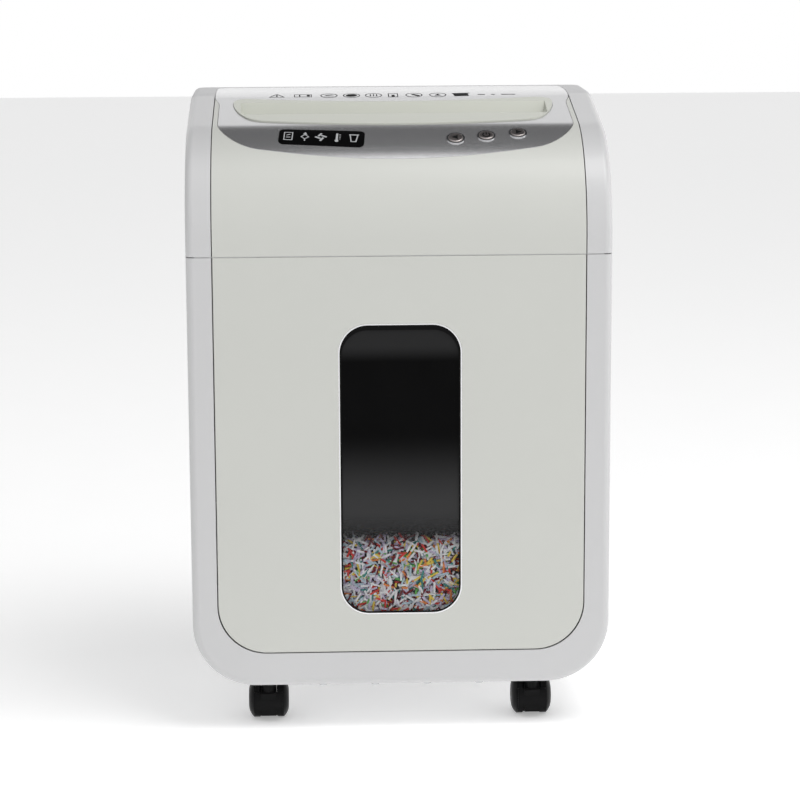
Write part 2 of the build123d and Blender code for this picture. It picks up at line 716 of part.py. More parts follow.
finger_x = DISC_T + (DISC_PITCH - DISC_T) / 2
with BuildPart() as stripper_combs:
    add(stripper(FRONT_CUTTER_Y - 20, FRONT_CUTTER_Y - HUB_R - 0.6, -110.0 + finger_x).part)
    add(stripper(REAR_CUTTER_Y + 20, REAR_CUTTER_Y + HUB_R + 0.6, -106.0 + finger_x).part)
finish(stripper_combs, "stripper_combs")


# ---------------------------------------------------------------- gears
def gear(teeth, module, phase, centre, x, width, bore):
    """Spur gear with tapered teeth; phase is the angle of one tooth's centre."""
    pitch_r = teeth * module / 2
    half_pitch_angle = 90.0 / teeth
    steps = [
        (pitch_r - 1.25 * module, -1.25 * half_pitch_angle),
        (pitch_r, -0.84 * half_pitch_angle),
        (pitch_r + 0.85 * module, -0.36 * half_pitch_angle),
        (pitch_r + 0.85 * module, 0.36 * half_pitch_angle),
        (pitch_r, 0.84 * half_pitch_angle),
        (pitch_r - 1.25 * module, 1.25 * half_pitch_angle),
    ]
    points = []
    for tooth in range(teeth):
        for radius, angle in steps:
            turn = math.radians(phase + 360.0 * tooth / teeth + angle)
            points.append((centre[0] + radius * math.cos(turn), centre[1] + radius * math.sin(turn)))
    with BuildSketch(Plane.YZ.offset(x)) as outline:
        Polygon(*points, align=None)
        with Locations(centre):
            Circle(bore, mode=Mode.SUBTRACT)
    return extrude(outline.sketch, amount=width)


def mate_phase(phase, teeth, other_teeth, start, end):
    """Phase of the gear at end so that its gap takes the tooth of the gear at start."""
    bearing = math.degrees(math.atan2(end[1] - start[1], end[0] - start[0]))
    return bearing + 180 + 180.0 / other_teeth - (phase - bearing) * teeth / other_teeth


front_yz = (FRONT_CUTTER_Y, CUTTER_Z)
rear_yz = (REAR_CUTTER_Y, CUTTER_Z)
front_mesh_phase = mate_phase(0, MESH_TEETH, MESH_TEETH, rear_yz, front_yz)
idler_small_phase = mate_phase(0, DRIVE_TEETH, IDLER_SMALL_TEETH, rear_yz, IDLER_YZ)
pinion_phase = mate_phase(0, IDLER_LARGE_TEETH, PINION_TEETH, IDLER_YZ, MOTOR_YZ)

with BuildPart() as rear_mesh_gear:
    add(gear(MESH_TEETH, MESH_MODULE, 0, rear_yz, 117.5, 7, SHAFT_R))
finish(rear_mesh_gear, "rear_mesh_gear")

with BuildPart() as front_mesh_gear:
    add(gear(MESH_TEETH, MESH_MODULE, front_mesh_phase, front_yz, 117.5, 7, SHAFT_R))
finish(front_mesh_gear, "front_mesh_gear")

with BuildPart() as drive_gear:
    add(gear(DRIVE_TEETH, DRIVE_MODULE, 0, rear_yz, 126, 8, SHAFT_R))
finish(drive_gear, "drive_gear")

with BuildPart() as idler_gear:
    add(gear(IDLER_SMALL_TEETH, DRIVE_MODULE, idler_small_phase, IDLER_YZ, 126, 10, 4))
    add(gear(IDLER_LARGE_TEETH, PINION_MODULE, 0, IDLER_YZ, 136, 6, 4))
finish(idler_gear, "idler_gear")

with BuildPart() as idler_shaft:
    with BuildSketch(Plane.YZ.offset(PLATE_X)):
        with Locations(IDLER_YZ):
            Circle(4)
    extrude(amount=33.5)
finish(idler_shaft, "idler_shaft")

with BuildPart() as motor_pinion:
    add(gear(PINION_TEETH, PINION_MODULE, pinion_phase, MOTOR_YZ, 136, 7, 4))
finish(motor_pinion, "motor_pinion")

with BuildPart() as gear_plate:
    with Locations((144.5, -8, frame_top)):
        Box(PLATE_T, 106, 78, align=(Align.MIN, Align.MIN, Align.MIN))
    with BuildSketch(Plane.YZ.offset(144)):
        with Locations(rear_yz):
            Circle(SHAFT_R + RUNNING)
        with Locations(IDLER_YZ):
            Circle(4 + RUNNING)
    extrude(amount=5, mode=Mode.SUBTRACT)
finish(gear_plate, "gear_plate")

with BuildPart() as gear_posts:
    with BuildSketch(Plane.YZ.offset(PLATE_X + PLATE_T)):
        with Locations((-3, 408), (-3, 470), (94, 408), (94, 466)):
            Circle(3.5)
    extrude(amount=144.5 - PLATE_X - PLATE_T)
finish(gear_posts, "gear_posts")

# ---------------------------------------------------------------- motor and electronics
CAN_FROM, CAN_TO = 30.0, PLATE_X
with BuildPart() as motor_can:
    with BuildSketch(Plane.YZ.offset(CAN_FROM)):
        with Locations(MOTOR_YZ):
            Circle(MOTOR_R)
    extrude(amount=CAN_TO - CAN_FROM)
    with BuildSketch(Plane.YZ.offset(CAN_FROM + 3)):
        with Locations(MOTOR_YZ):
            Circle(MOTOR_R - 3)
    extrude(amount=CAN_TO - CAN_FROM - 6, mode=Mode.SUBTRACT)
    with BuildSketch(Plane.YZ.offset(CAN_FROM - 1)):
        with Locations(MOTOR_YZ):
            Circle(4 + RUNNING)
    extrude(amount=CAN_TO - CAN_FROM + 2, mode=Mode.SUBTRACT)
finish(motor_can, "motor_can")

with BuildPart() as motor_shaft:
    with BuildSketch(Plane.YZ.offset(CAN_FROM - 2)):
        with Locations(MOTOR_YZ):
            Circle(4)
    extrude(amount=143.5 - CAN_FROM + 2)
finish(motor_shaft, "motor_shaft")

with BuildPart() as motor_armature:
    with BuildSketch(Plane.YZ.offset(CAN_FROM + 14)):
        with Locations(MOTOR_YZ):
            Circle(19)
            with PolarLocations(19, 12):
                Rectangle(8, 2, mode=Mode.SUBTRACT)
            Circle(4, mode=Mode.SUBTRACT)
    extrude(amount=54)
finish(motor_armature, "motor_armature")

with BuildPart() as motor_cradle:
    with Locations((72, MOTOR_YZ[0], frame_top)):
        Box(56, 44, 16, align=(Align.CENTER, Align.CENTER, Align.MIN))
    with BuildSketch(Plane.YZ.offset(CAN_FROM)):
        with Locations(MOTOR_YZ):
            Circle(MOTOR_R)
    extrude(amount=CAN_TO - CAN_FROM, mode=Mode.SUBTRACT)
finish(motor_cradle, "motor_cradle")

with BuildPart() as control_board:
    with Locations((-62, 70, frame_top)):
        Box(96, 1.6, 66, align=(Align.CENTER, Align.MIN, Align.MIN))
    with Locations((-88, 71.6, frame_top + 8)):
        Box(30, 22, 26, align=(Align.CENTER, Align.MIN, Align.MIN))
    with Locations((-50, 71.6, frame_top + 10)):
        Box(19, 15, 16, align=(Align.CENTER, Align.MIN, Align.MIN))
    with BuildSketch(front_plane(71.6)):
        with Locations((50, frame_top + 48), (28, frame_top + 20)):
            Circle(6)
    extrude(amount=20)
finish(control_board, "control_board")

with BuildPart() as indicator_board:
    with BuildSketch(brow_plane(4, -76.8).offset(-9.6)):
        Rectangle(216, 26)
    extrude(amount=1.6)
    for spot in BUTTONS.values():
        with BuildSketch(brow_plane(*spot).offset(-9.0)):
            Rectangle(6, 6)
        extrude(amount=1.5)
finish(indicator_board, "indicator_board")

with BuildPart() as paper_sensor:
    for y in (SLIT_Y - SLIT_W / 2 - 5.5, SLIT_Y + SLIT_W / 2 + 5.5):
        with Locations((0, y, 475.5)):
            Box(12, 6, 7)
finish(paper_sensor, "paper_sensor")

# ---------------------------------------------------------------- casters
with BuildPart() as caster_stems:
    with BuildSketch(Plane.XY.offset(33.4)):
        with Locations(*caster_spots):
            Circle(4)
    extrude(amount=56 - 33.4)
    with BuildSketch(Plane.XY.offset(14)):
        with Locations(*caster_spots):
            Circle(3.5)
    extrude(amount=33.4 - 14)
finish(caster_stems, "caster_stems")


def caster(row, side, stem_y):
    """One twin-wheel caster behind its stem: hood, and a pair of wheels pressed on an axle."""
    x, axle_y = side * CASTER_X, stem_y + CASTER_TRAIL
    name = f"{row}_{'left' if side < 0 else 'right'}_caster"
    centre = (axle_y, WHEEL_R)
    with BuildPart() as hood:
        with BuildSketch(Plane.YZ.offset(x)):
            with Locations(centre):
                Circle(WHEEL_R - 0.2)
        extrude(amount=WEB_HALF_X, both=True)
        with BuildSketch(Plane.YZ.offset(x)) as fender:
            with Locations(centre):
                Circle(WHEEL_R + 2.3)
                Circle(WHEEL_R + 0.5, mode=Mode.SUBTRACT)
            with Locations((axle_y - 16.5, WHEEL_R - 1)):
                Rectangle(16, 20, mode=Mode.INTERSECT)
        extrude(amount=11.8, both=True)
        with Locations((x, axle_y - 15.5, 5.5)):
            Box(2 * WEB_HALF_X, 5, 19, align=(Align.CENTER, Align.CENTER, Align.MIN))
        with Locations((x, stem_y, 8)):
            Cylinder(5.2, 25, align=(Align.CENTER, Align.CENTER, Align.MIN))
        with Locations((x, axle_y, 0)):
            Box(60, 60, 2 * 4.3, mode=Mode.SUBTRACT)
        with Locations((x, stem_y, 13.5)):
            Cylinder(3.5 + RUNNING, 30, align=(Align.CENTER, Align.CENTER, Align.MIN), mode=Mode.SUBTRACT)
        with BuildSketch(Plane.YZ.offset(x)):
            with Locations(centre):
                Circle(AXLE_R + RUNNING)
        extrude(amount=20, both=True, mode=Mode.SUBTRACT)
    finish(hood, f"{name}_hood")
    with BuildPart() as wheels:
        for way in (-1, 1):
            with BuildSketch(Plane.XY):
                with BuildLine():
                    tread = Polyline(
                        (way * WHEEL_IN_X, AXLE_R),
                        (way * WHEEL_IN_X, WHEEL_R - 0.8),
                        (way * (WHEEL_IN_X + 0.8), WHEEL_R),
                        (way * 12.4, WHEEL_R),
                    )
                    dome = ThreePointArc(tread @ 1, (way * 15.6, 11.6), (way * WHEEL_OUT_X, 5.0))
                    Polyline(dome @ 1, (way * WHEEL_OUT_X, AXLE_R), (way * WHEEL_IN_X, AXLE_R))
                make_face()
            revolve(axis=Axis.X)
    with BuildPart() as axle:
        with BuildSketch(Plane.YZ):
            Circle(AXLE_R)
        extrude(amount=WHEEL_OUT_X - 1.5, both=True)
    spot = Location((x, axle_y, WHEEL_R))
    wheel_set = Compound([solid.moved(spot) for solid in wheels.part.solids() + axle.part.solids()])
    wheel_set.label = f"{name}_wheels"
    export_step(wheel_set, f"parts/{name}_wheels.step")


for row, stem_y in STEM_YS.items():
    for side in (-1, 1):
        caster(row, side, stem_y)
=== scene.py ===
"""Looks of a cross-cut paper shredder with a pull-out bin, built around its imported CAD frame."""

import logging
import math
import random
from dataclasses import dataclass, field
from enum import Enum
from typing import Callable, Iterable, Optional, Sequence

import bpy
from mathutils import Euler, Matrix, Vector


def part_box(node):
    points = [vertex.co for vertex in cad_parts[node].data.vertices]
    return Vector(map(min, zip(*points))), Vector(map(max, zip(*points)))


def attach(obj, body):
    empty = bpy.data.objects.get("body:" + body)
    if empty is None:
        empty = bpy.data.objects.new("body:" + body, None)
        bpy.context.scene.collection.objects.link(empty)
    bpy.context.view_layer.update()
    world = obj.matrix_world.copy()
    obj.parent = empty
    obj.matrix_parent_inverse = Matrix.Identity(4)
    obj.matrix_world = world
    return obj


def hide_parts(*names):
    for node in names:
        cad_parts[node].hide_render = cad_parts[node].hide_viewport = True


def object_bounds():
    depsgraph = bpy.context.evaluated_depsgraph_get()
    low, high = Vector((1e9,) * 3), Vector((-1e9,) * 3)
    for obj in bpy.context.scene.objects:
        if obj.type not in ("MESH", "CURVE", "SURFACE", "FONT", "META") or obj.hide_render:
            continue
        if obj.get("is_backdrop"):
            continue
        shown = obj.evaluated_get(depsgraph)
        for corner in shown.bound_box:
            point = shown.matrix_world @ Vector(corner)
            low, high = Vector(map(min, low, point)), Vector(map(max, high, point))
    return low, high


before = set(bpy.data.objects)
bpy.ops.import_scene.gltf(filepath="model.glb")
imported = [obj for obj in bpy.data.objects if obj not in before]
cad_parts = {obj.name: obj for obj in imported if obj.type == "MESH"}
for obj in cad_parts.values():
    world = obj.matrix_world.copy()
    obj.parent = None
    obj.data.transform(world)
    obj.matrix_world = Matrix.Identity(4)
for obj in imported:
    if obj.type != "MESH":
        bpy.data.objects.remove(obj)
CAD_LOW, CAD_HIGH = (Vector(corner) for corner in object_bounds())

logging.basicConfig(level=logging.INFO, format="%(levelname)s %(message)s")
log = logging.getLogger("shredder")

MM = 0.001
Colour = tuple[float, float, float]

# A colour mix has several sockets of one name, so its colour sockets are found by place.
MIX_FIRST, MIX_SECOND, MIX_RESULT = 6, 7, 2
# Where a noise mask does most of its moving.
MASK_RANGE = (0.25, 0.75)
# How deep a moulded, drawn or fibrous skin is.
SKIN_DEPTH = 0.04 * MM


# ------------------------------------------------------------------ bench tools
def deselect_all() -> None:
    """Leave object mode and drop every selection."""
    if bpy.context.object and bpy.context.object.mode != "OBJECT":
        bpy.ops.object.mode_set(mode="OBJECT")
    bpy.ops.object.select_all(action="DESELECT")


def take(obj: bpy.types.Object) -> None:
    """Make one object the only selected and active one.

    Args:
        obj: The object to work on.
    """
    deselect_all()
    obj.select_set(True)
    bpy.context.view_layer.objects.active = obj


def named(obj: bpy.types.Object, name: str) -> bpy.types.Object:
    """Name an object and its mesh alike.

    Args:
        obj: The object to name.
        name: The plain name.

    Returns:
        The same object.
    """
    obj.name = name
    obj.data.name = name
    return obj


def settle(obj: bpy.types.Object) -> bpy.types.Object:
    """Put an object's place, turn and size into its mesh.

    Args:
        obj: The object to settle.

    Returns:
        The same object, at the origin, unturned and unscaled.
    """
    take(obj)
    bpy.ops.object.transform_apply(location=True, rotation=True, scale=True)
    return obj


def finish_with(obj: bpy.types.Object, kind: str, **settings: object) -> None:
    """Add a modifier, set it and apply it.

    Args:
        obj: The object to change.
        kind: The modifier's type.
        settings: Values for the modifier's own fields.
    """
    take(obj)
    modifier = obj.modifiers.new(kind.lower(), kind)
    for key, value in settings.items():
        setattr(modifier, key, value)
    bpy.ops.object.modifier_apply(modifier=modifier.name)


def pick_faces(obj: bpy.types.Object, wanted: Callable[[Vector, Vector], bool]) -> int:
    """Select faces by place and normal, and open edit mode on them.

    Args:
        obj: The mesh object.
        wanted: Takes a face's centre and normal, and says whether it is picked.

    Returns:
        How many faces were picked.
    """
    take(obj)
    mesh = obj.data
    for group in (mesh.vertices, mesh.edges):
        group.foreach_set("select", [False] * len(group))
    count = 0
    for face in mesh.polygons:
        face.select = wanted(face.center, face.normal)
        count += face.select
    bpy.ops.object.mode_set(mode="EDIT")
    bpy.ops.mesh.select_mode(type="FACE")
    return count


def merged(parts: Sequence[bpy.types.Object]) -> bpy.types.Object:
    """Join several mesh objects into the first of them.

    Args:
        parts: The objects, at least one.

    Returns:
        The joined object.
    """
    deselect_all()
    for part in parts:
        part.select_set(True)
    bpy.context.view_layer.objects.active = parts[0]
    if len(parts) > 1:
        bpy.ops.object.join()
    return parts[0]


def surface_frame(origin: Vector, normal: Vector, turn: float = 0.0) -> Matrix:
    """Frame on a surface: X across, Y up the surface, Z out of it.

    Args:
        origin: The frame's place.
        normal: The surface's outward direction, in the Y-Z plane.
        turn: Turn clockwise about the normal, in degrees.

    Returns:
        A matrix that carries local points there.
    """
    out = normal.normalized()
    across = Vector((1, 0, 0))
    up = out.cross(across)
    basis = Matrix((across, up, out)).transposed().to_4x4()
    return Matrix.Translation(origin) @ basis @ Matrix.Rotation(-math.radians(turn), 4, "Z")


# ------------------------------------------------------------------ shared shader groups
def new_group(
    name: str, inputs: Iterable[tuple[str, float]], outputs: Iterable[tuple[str, str]]
) -> tuple[bpy.types.NodeTree, bpy.types.Node, bpy.types.Node]:
    """Make a shader node group with named sockets.

    Args:
        name: The group's name.
        inputs: Names and defaults of its number inputs.
        outputs: Names and socket types of its outputs.

    Returns:
        The group, its input node and its output node.
    """
    tree = bpy.data.node_groups.new(name, "ShaderNodeTree")
    for label, default in inputs:
        socket = tree.interface.new_socket(label, in_out="INPUT", socket_type="NodeSocketFloat")
        socket.default_value = default
    for label, kind in outputs:
        tree.interface.new_socket(label, in_out="OUTPUT", socket_type=kind)
    return tree, tree.nodes.new("NodeGroupInput"), tree.nodes.new("NodeGroupOutput")


def noise(
    tree: bpy.types.NodeTree, detail: float, rough: float, scale: Optional[float] = None
) -> bpy.types.Node:
    """Add a noise texture node.

    Args:
        tree: The nodes it joins.
        detail: How many finer layers it has.
        rough: How strong those layers are.
        scale: Its scale, where no socket gives it.

    Returns:
        The noise node.
    """
    node = tree.nodes.new("ShaderNodeTexNoise")
    node.inputs["Detail"].default_value = detail
    node.inputs["Roughness"].default_value = rough
    if scale is not None:
        node.inputs["Scale"].default_value = scale
    return node


def maths(tree: bpy.types.NodeTree, operation: str, clamp: bool = False) -> bpy.types.Node:
    """Add a maths node.

    Args:
        tree: The nodes it joins.
        operation: What it works out.
        clamp: True keeps its result between 0 and 1.

    Returns:
        The maths node.
    """
    node = tree.nodes.new("ShaderNodeMath")
    node.operation = operation
    node.use_clamp = clamp
    return node


def ramp(
    tree: bpy.types.NodeTree, source: bpy.types.NodeSocket, span: tuple[float, float],
    first: float, last: float,
) -> bpy.types.Node:
    """Add a smooth change from one value to another.

    Args:
        tree: The nodes it joins.
        source: The number that it follows.
        span: Where the change starts and ends.
        first: The value before the start.
        last: The value past the end.

    Returns:
        The node, whose Result is the value.
    """
    node = tree.nodes.new("ShaderNodeMapRange")
    node.interpolation_type = "SMOOTHSTEP"
    limits = {"From Min": span[0], "From Max": span[1], "To Min": first, "To Max": last}
    for key, value in limits.items():
        node.inputs[key].default_value = value
    tree.links.new(source, node.inputs["Value"])
    return node


class Effect(Enum):
    """Shader groups that several finishes share."""

    MOULD_GRAIN = "mould_grain"
    METAL_FLAKE = "metal_flake"
    BRUSHED = "brushed_lines"
    DUST = "settled_dust"


def build_mould_grain() -> None:
    """Fine spark-eroded grain of a moulded skin, with a slow cloud over it."""
    tree, source, out = new_group(
        Effect.MOULD_GRAIN.value,
        [("Grain Scale", 1800.0), ("Cloud Scale", 14.0)],
        [("Height", "NodeSocketFloat"), ("Cloud", "NodeSocketFloat")],
    )
    place = tree.nodes.new("ShaderNodeTexCoord")
    grain, cloud = noise(tree, detail=3.0, rough=0.6), noise(tree, detail=2.0, rough=0.5)
    for node, scale in ((grain, "Grain Scale"), (cloud, "Cloud Scale")):
        tree.links.new(place.outputs["Object"], node.inputs["Vector"])
        tree.links.new(source.outputs[scale], node.inputs["Scale"])
    tree.links.new(grain.outputs["Fac"], out.inputs["Height"])
    tree.links.new(cloud.outputs["Fac"], out.inputs["Cloud"])


def build_metal_flake() -> None:
    """Random bright and dark flakes of a metallic paint."""
    tree, source, out = new_group(
        Effect.METAL_FLAKE.value,
        [("Flake Scale", 3200.0)],
        [("Flake", "NodeSocketFloat"), ("Height", "NodeSocketFloat")],
    )
    place = tree.nodes.new("ShaderNodeTexCoord")
    cells = tree.nodes.new("ShaderNodeTexVoronoi")
    tree.links.new(place.outputs["Object"], cells.inputs["Vector"])
    tree.links.new(source.outputs["Flake Scale"], cells.inputs["Scale"])
    split = tree.nodes.new("ShaderNodeSeparateColor")
    tree.links.new(cells.outputs["Color"], split.inputs["Color"])
    tree.links.new(split.outputs["Red"], out.inputs["Flake"])
    tree.links.new(cells.outputs["Distance"], out.inputs["Height"])


def build_brushed() -> None:
    """Drawn or ground lines along X."""
    tree, source, out = new_group(
        Effect.BRUSHED.value,
        [("Line Scale", 900.0)],
        [("Height", "NodeSocketFloat"), ("Streak", "NodeSocketFloat")],
    )
    place = tree.nodes.new("ShaderNodeTexCoord")
    stretch = tree.nodes.new("ShaderNodeMapping")
    long_in_x = (0.03, 1.0, 1.0)
    stretch.inputs["Scale"].default_value = long_in_x
    lines = noise(tree, detail=3.0, rough=0.55)
    streak = noise(tree, detail=2.0, rough=0.5, scale=60.0)
    tree.links.new(place.outputs["Object"], stretch.inputs["Vector"])
    for node in (lines, streak):
        tree.links.new(stretch.outputs["Vector"], node.inputs["Vector"])
    tree.links.new(source.outputs["Line Scale"], lines.inputs["Scale"])
    tree.links.new(lines.outputs["Fac"], out.inputs["Height"])
    tree.links.new(streak.outputs["Fac"], out.inputs["Streak"])


def build_dust() -> None:
    """Mask of the fine paper dust that lies on what faces up."""
    tree, source, out = new_group(
        Effect.DUST.value, [("Amount", 0.2)], [("Mask", "NodeSocketFloat")]
    )
    place = tree.nodes.new("ShaderNodeTexCoord")
    specks = noise(tree, detail=6.0, rough=0.7, scale=240.0)
    tree.links.new(place.outputs["Object"], specks.inputs["Vector"])
    shape = tree.nodes.new("ShaderNodeNewGeometry")
    split = tree.nodes.new("ShaderNodeSeparateXYZ")
    tree.links.new(shape.outputs["Normal"], split.inputs["Vector"])
    facing = maths(tree, "MULTIPLY", clamp=True)
    tree.links.new(split.outputs["Z"], facing.inputs[0])
    tree.links.new(specks.outputs["Fac"], facing.inputs[1])
    strength = maths(tree, "MULTIPLY", clamp=True)
    tree.links.new(facing.outputs["Value"], strength.inputs[0])
    tree.links.new(source.outputs["Amount"], strength.inputs[1])
    tree.links.new(strength.outputs["Value"], out.inputs["Mask"])


# ------------------------------------------------------------------ finishes
def start_material(name: str) -> tuple[bpy.types.Material, bpy.types.Node]:
    """A node material with its Principled shader.

    Args:
        name: The finish's name.

    Returns:
        The material and the shader node.
    """
    material = bpy.data.materials.new(name)
    material.use_nodes = True
    return material, material.node_tree.nodes["Principled BSDF"]


def place_effect(tree: bpy.types.NodeTree, effect: Effect, **values: float) -> bpy.types.Node:
    """Put a shared group into a material.

    Args:
        tree: The material's nodes.
        effect: Which group.
        values: Its inputs, with underscores for spaces.

    Returns:
        The group node.
    """
    node = tree.nodes.new("ShaderNodeGroup")
    node.node_tree = bpy.data.node_groups[effect.value]
    for key, value in values.items():
        node.inputs[key.replace("_", " ")].default_value = value
    return node


def vary(
    tree: bpy.types.NodeTree, mask: bpy.types.NodeSocket, target: bpy.types.NodeSocket,
    middle: float, swing: float,
) -> None:
    """Let a mask move a number either side of its middle value.

    Args:
        tree: The material's nodes.
        mask: The socket that moves the number.
        target: The shader's number socket.
        middle: The middle value.
        swing: How far it goes either way.
    """
    spread = tree.nodes.new("ShaderNodeMapRange")
    low, high = MASK_RANGE
    spread.inputs["From Min"].default_value = low
    spread.inputs["From Max"].default_value = high
    spread.inputs["To Min"].default_value = middle - swing
    spread.inputs["To Max"].default_value = middle + swing
    tree.links.new(mask, spread.inputs["Value"])
    tree.links.new(spread.outputs["Result"], target)


def tint(
    tree: bpy.types.NodeTree, mask: bpy.types.NodeSocket, first: Colour, second: Colour
) -> bpy.types.Node:
    """Mix two colours by a mask.

    Args:
        tree: The material's nodes.
        mask: The socket that chooses between the colours.
        first: Colour where the mask is 0.
        second: Colour where the mask is 1.

    Returns:
        The mix node, whose colour comes out at MIX_RESULT.
    """
    mix = tree.nodes.new("ShaderNodeMix")
    mix.data_type = "RGBA"
    mix.inputs[MIX_FIRST].default_value = (*first, 1.0)
    mix.inputs[MIX_SECOND].default_value = (*second, 1.0)
    tree.links.new(mask, mix.inputs["Factor"])
    return mix


def emboss(
    tree: bpy.types.NodeTree, shader: bpy.types.Node, height: bpy.types.NodeSocket,
    strength: float, depth: float,
) -> None:
    """Feed a height into the shader's normal.

    Args:
        tree: The material's nodes.
        shader: The Principled shader.
        height: The socket that holds the height.
        strength: How much of it shows.
        depth: How deep the full height is.
    """
    bump = tree.nodes.new("ShaderNodeBump")
    bump.inputs["Strength"].default_value = strength
    bump.inputs["Distance"].default_value = depth
    tree.links.new(height, bump.inputs["Height"])
    tree.links.new(bump.outputs["Normal"], shader.inputs["Normal"])


def scaled(colour: Colour, share: float) -> Colour:
    """A colour made lighter or darker by a share."""
    return tuple(min(1.0, part * share) for part in colour)


def shades(colour: Colour, swing: float) -> tuple[Colour, Colour]:
    """A darker and a lighter shade of one colour, equally far from it."""
    return scaled(colour, 1 - swing), scaled(colour, 1 + swing)


@dataclass(frozen=True)
class MouldedPlastic:
    """Injection-moulded plastic with a fine grain, a slow cloud and a little dust."""

    name: str
    colour: Colour
    roughness: float = 0.4
    grain: float = 0.12
    cloud: float = 0.015
    dust: float = 0.0
    gloss_coat: float = 0.0
    grain_scale: float = 1800.0
    specular: float = 0.5
    glow: float = 0.0
    coat_roughness: float = 0.08
    roughness_swing: float = 0.03
    # For this plastic, pale_colour is the colour of the dust.
    pale_colour: Colour = (0.72, 0.7, 0.67)

    def build(self) -> bpy.types.Material:
        """Make the material.

        Returns:
            The plastic.
        """
        material, shader = start_material(self.name)
        tree = material.node_tree
        skin = place_effect(tree, Effect.MOULD_GRAIN, Grain_Scale=self.grain_scale)
        base = tint(tree, skin.outputs["Cloud"], *shades(self.colour, self.cloud))
        colour = base.outputs[MIX_RESULT]
        if self.dust:
            dust = place_effect(tree, Effect.DUST, Amount=self.dust)
            veil = tint(tree, dust.outputs["Mask"], self.colour, self.pale_colour)
            tree.links.new(colour, veil.inputs[MIX_FIRST])
            colour = veil.outputs[MIX_RESULT]
        tree.links.new(colour, shader.inputs["Base Color"])
        shader.inputs["Coat Weight"].default_value = self.gloss_coat
        shader.inputs["Coat Roughness"].default_value = self.coat_roughness
        shader.inputs["Specular IOR Level"].default_value = self.specular
        shader.inputs["Emission Color"].default_value = (*self.colour, 1.0)
        shader.inputs["Emission Strength"].default_value = self.glow
        vary(tree, skin.outputs["Cloud"], shader.inputs["Roughness"], self.roughness, self.roughness_swing)
        emboss(tree, shader, skin.outputs["Height"], self.grain, SKIN_DEPTH)
        return material


@dataclass(frozen=True)
class MetallicPaint:
    """Silver paint: bright flakes in a clear binder."""

    name: str
    colour: Colour
    roughness: float = 0.3
    flake: float = 0.07
    metallic: float = 0.85
    roughness_swing: float = 0.05
    flake_relief: float = 0.08
    flake_depth: float = 0.03 * MM

    def build(self) -> bpy.types.Material:
        """Make the material.

        Returns:
            The paint.
        """
        material, shader = start_material(self.name)
        tree = material.node_tree
        flakes = place_effect(tree, Effect.METAL_FLAKE)
        flake = flakes.outputs["Flake"]
        base = tint(tree, flake, *shades(self.colour, self.flake))
        tree.links.new(base.outputs[MIX_RESULT], shader.inputs["Base Color"])
        shader.inputs["Metallic"].default_value = self.metallic
        vary(tree, flake, shader.inputs["Roughness"], self.roughness, self.roughness_swing)
        emboss(tree, shader, flakes.outputs["Height"], self.flake_relief, self.flake_depth)
        return material


@dataclass(frozen=True)
class WorkedMetal:
    """Bare, plated or wound metal with drawn lines."""

    name: str
    colour: Colour
    roughness: float = 0.32
    lines: float = 0.15
    line_scale: float = 900.0
    dark_streak: float = 0.88
    bright_streak: float = 1.1
    roughness_swing: float = 0.06

    def build(self) -> bpy.types.Material:
        """Make the material.

        Returns:
            The metal.
        """
        material, shader = start_material(self.name)
        tree = material.node_tree
        brushed = place_effect(tree, Effect.BRUSHED, Line_Scale=self.line_scale)
        streak = brushed.outputs["Streak"]
        dark, bright = (scaled(self.colour, share) for share in (self.dark_streak, self.bright_streak))
        base = tint(tree, streak, dark, bright)
        tree.links.new(base.outputs[MIX_RESULT], shader.inputs["Base Color"])
        shader.inputs["Metallic"].default_value = 1.0
        vary(tree, streak, shader.inputs["Roughness"], self.roughness, self.roughness_swing)
        emboss(tree, shader, brushed.outputs["Height"], self.lines, SKIN_DEPTH)
        return material


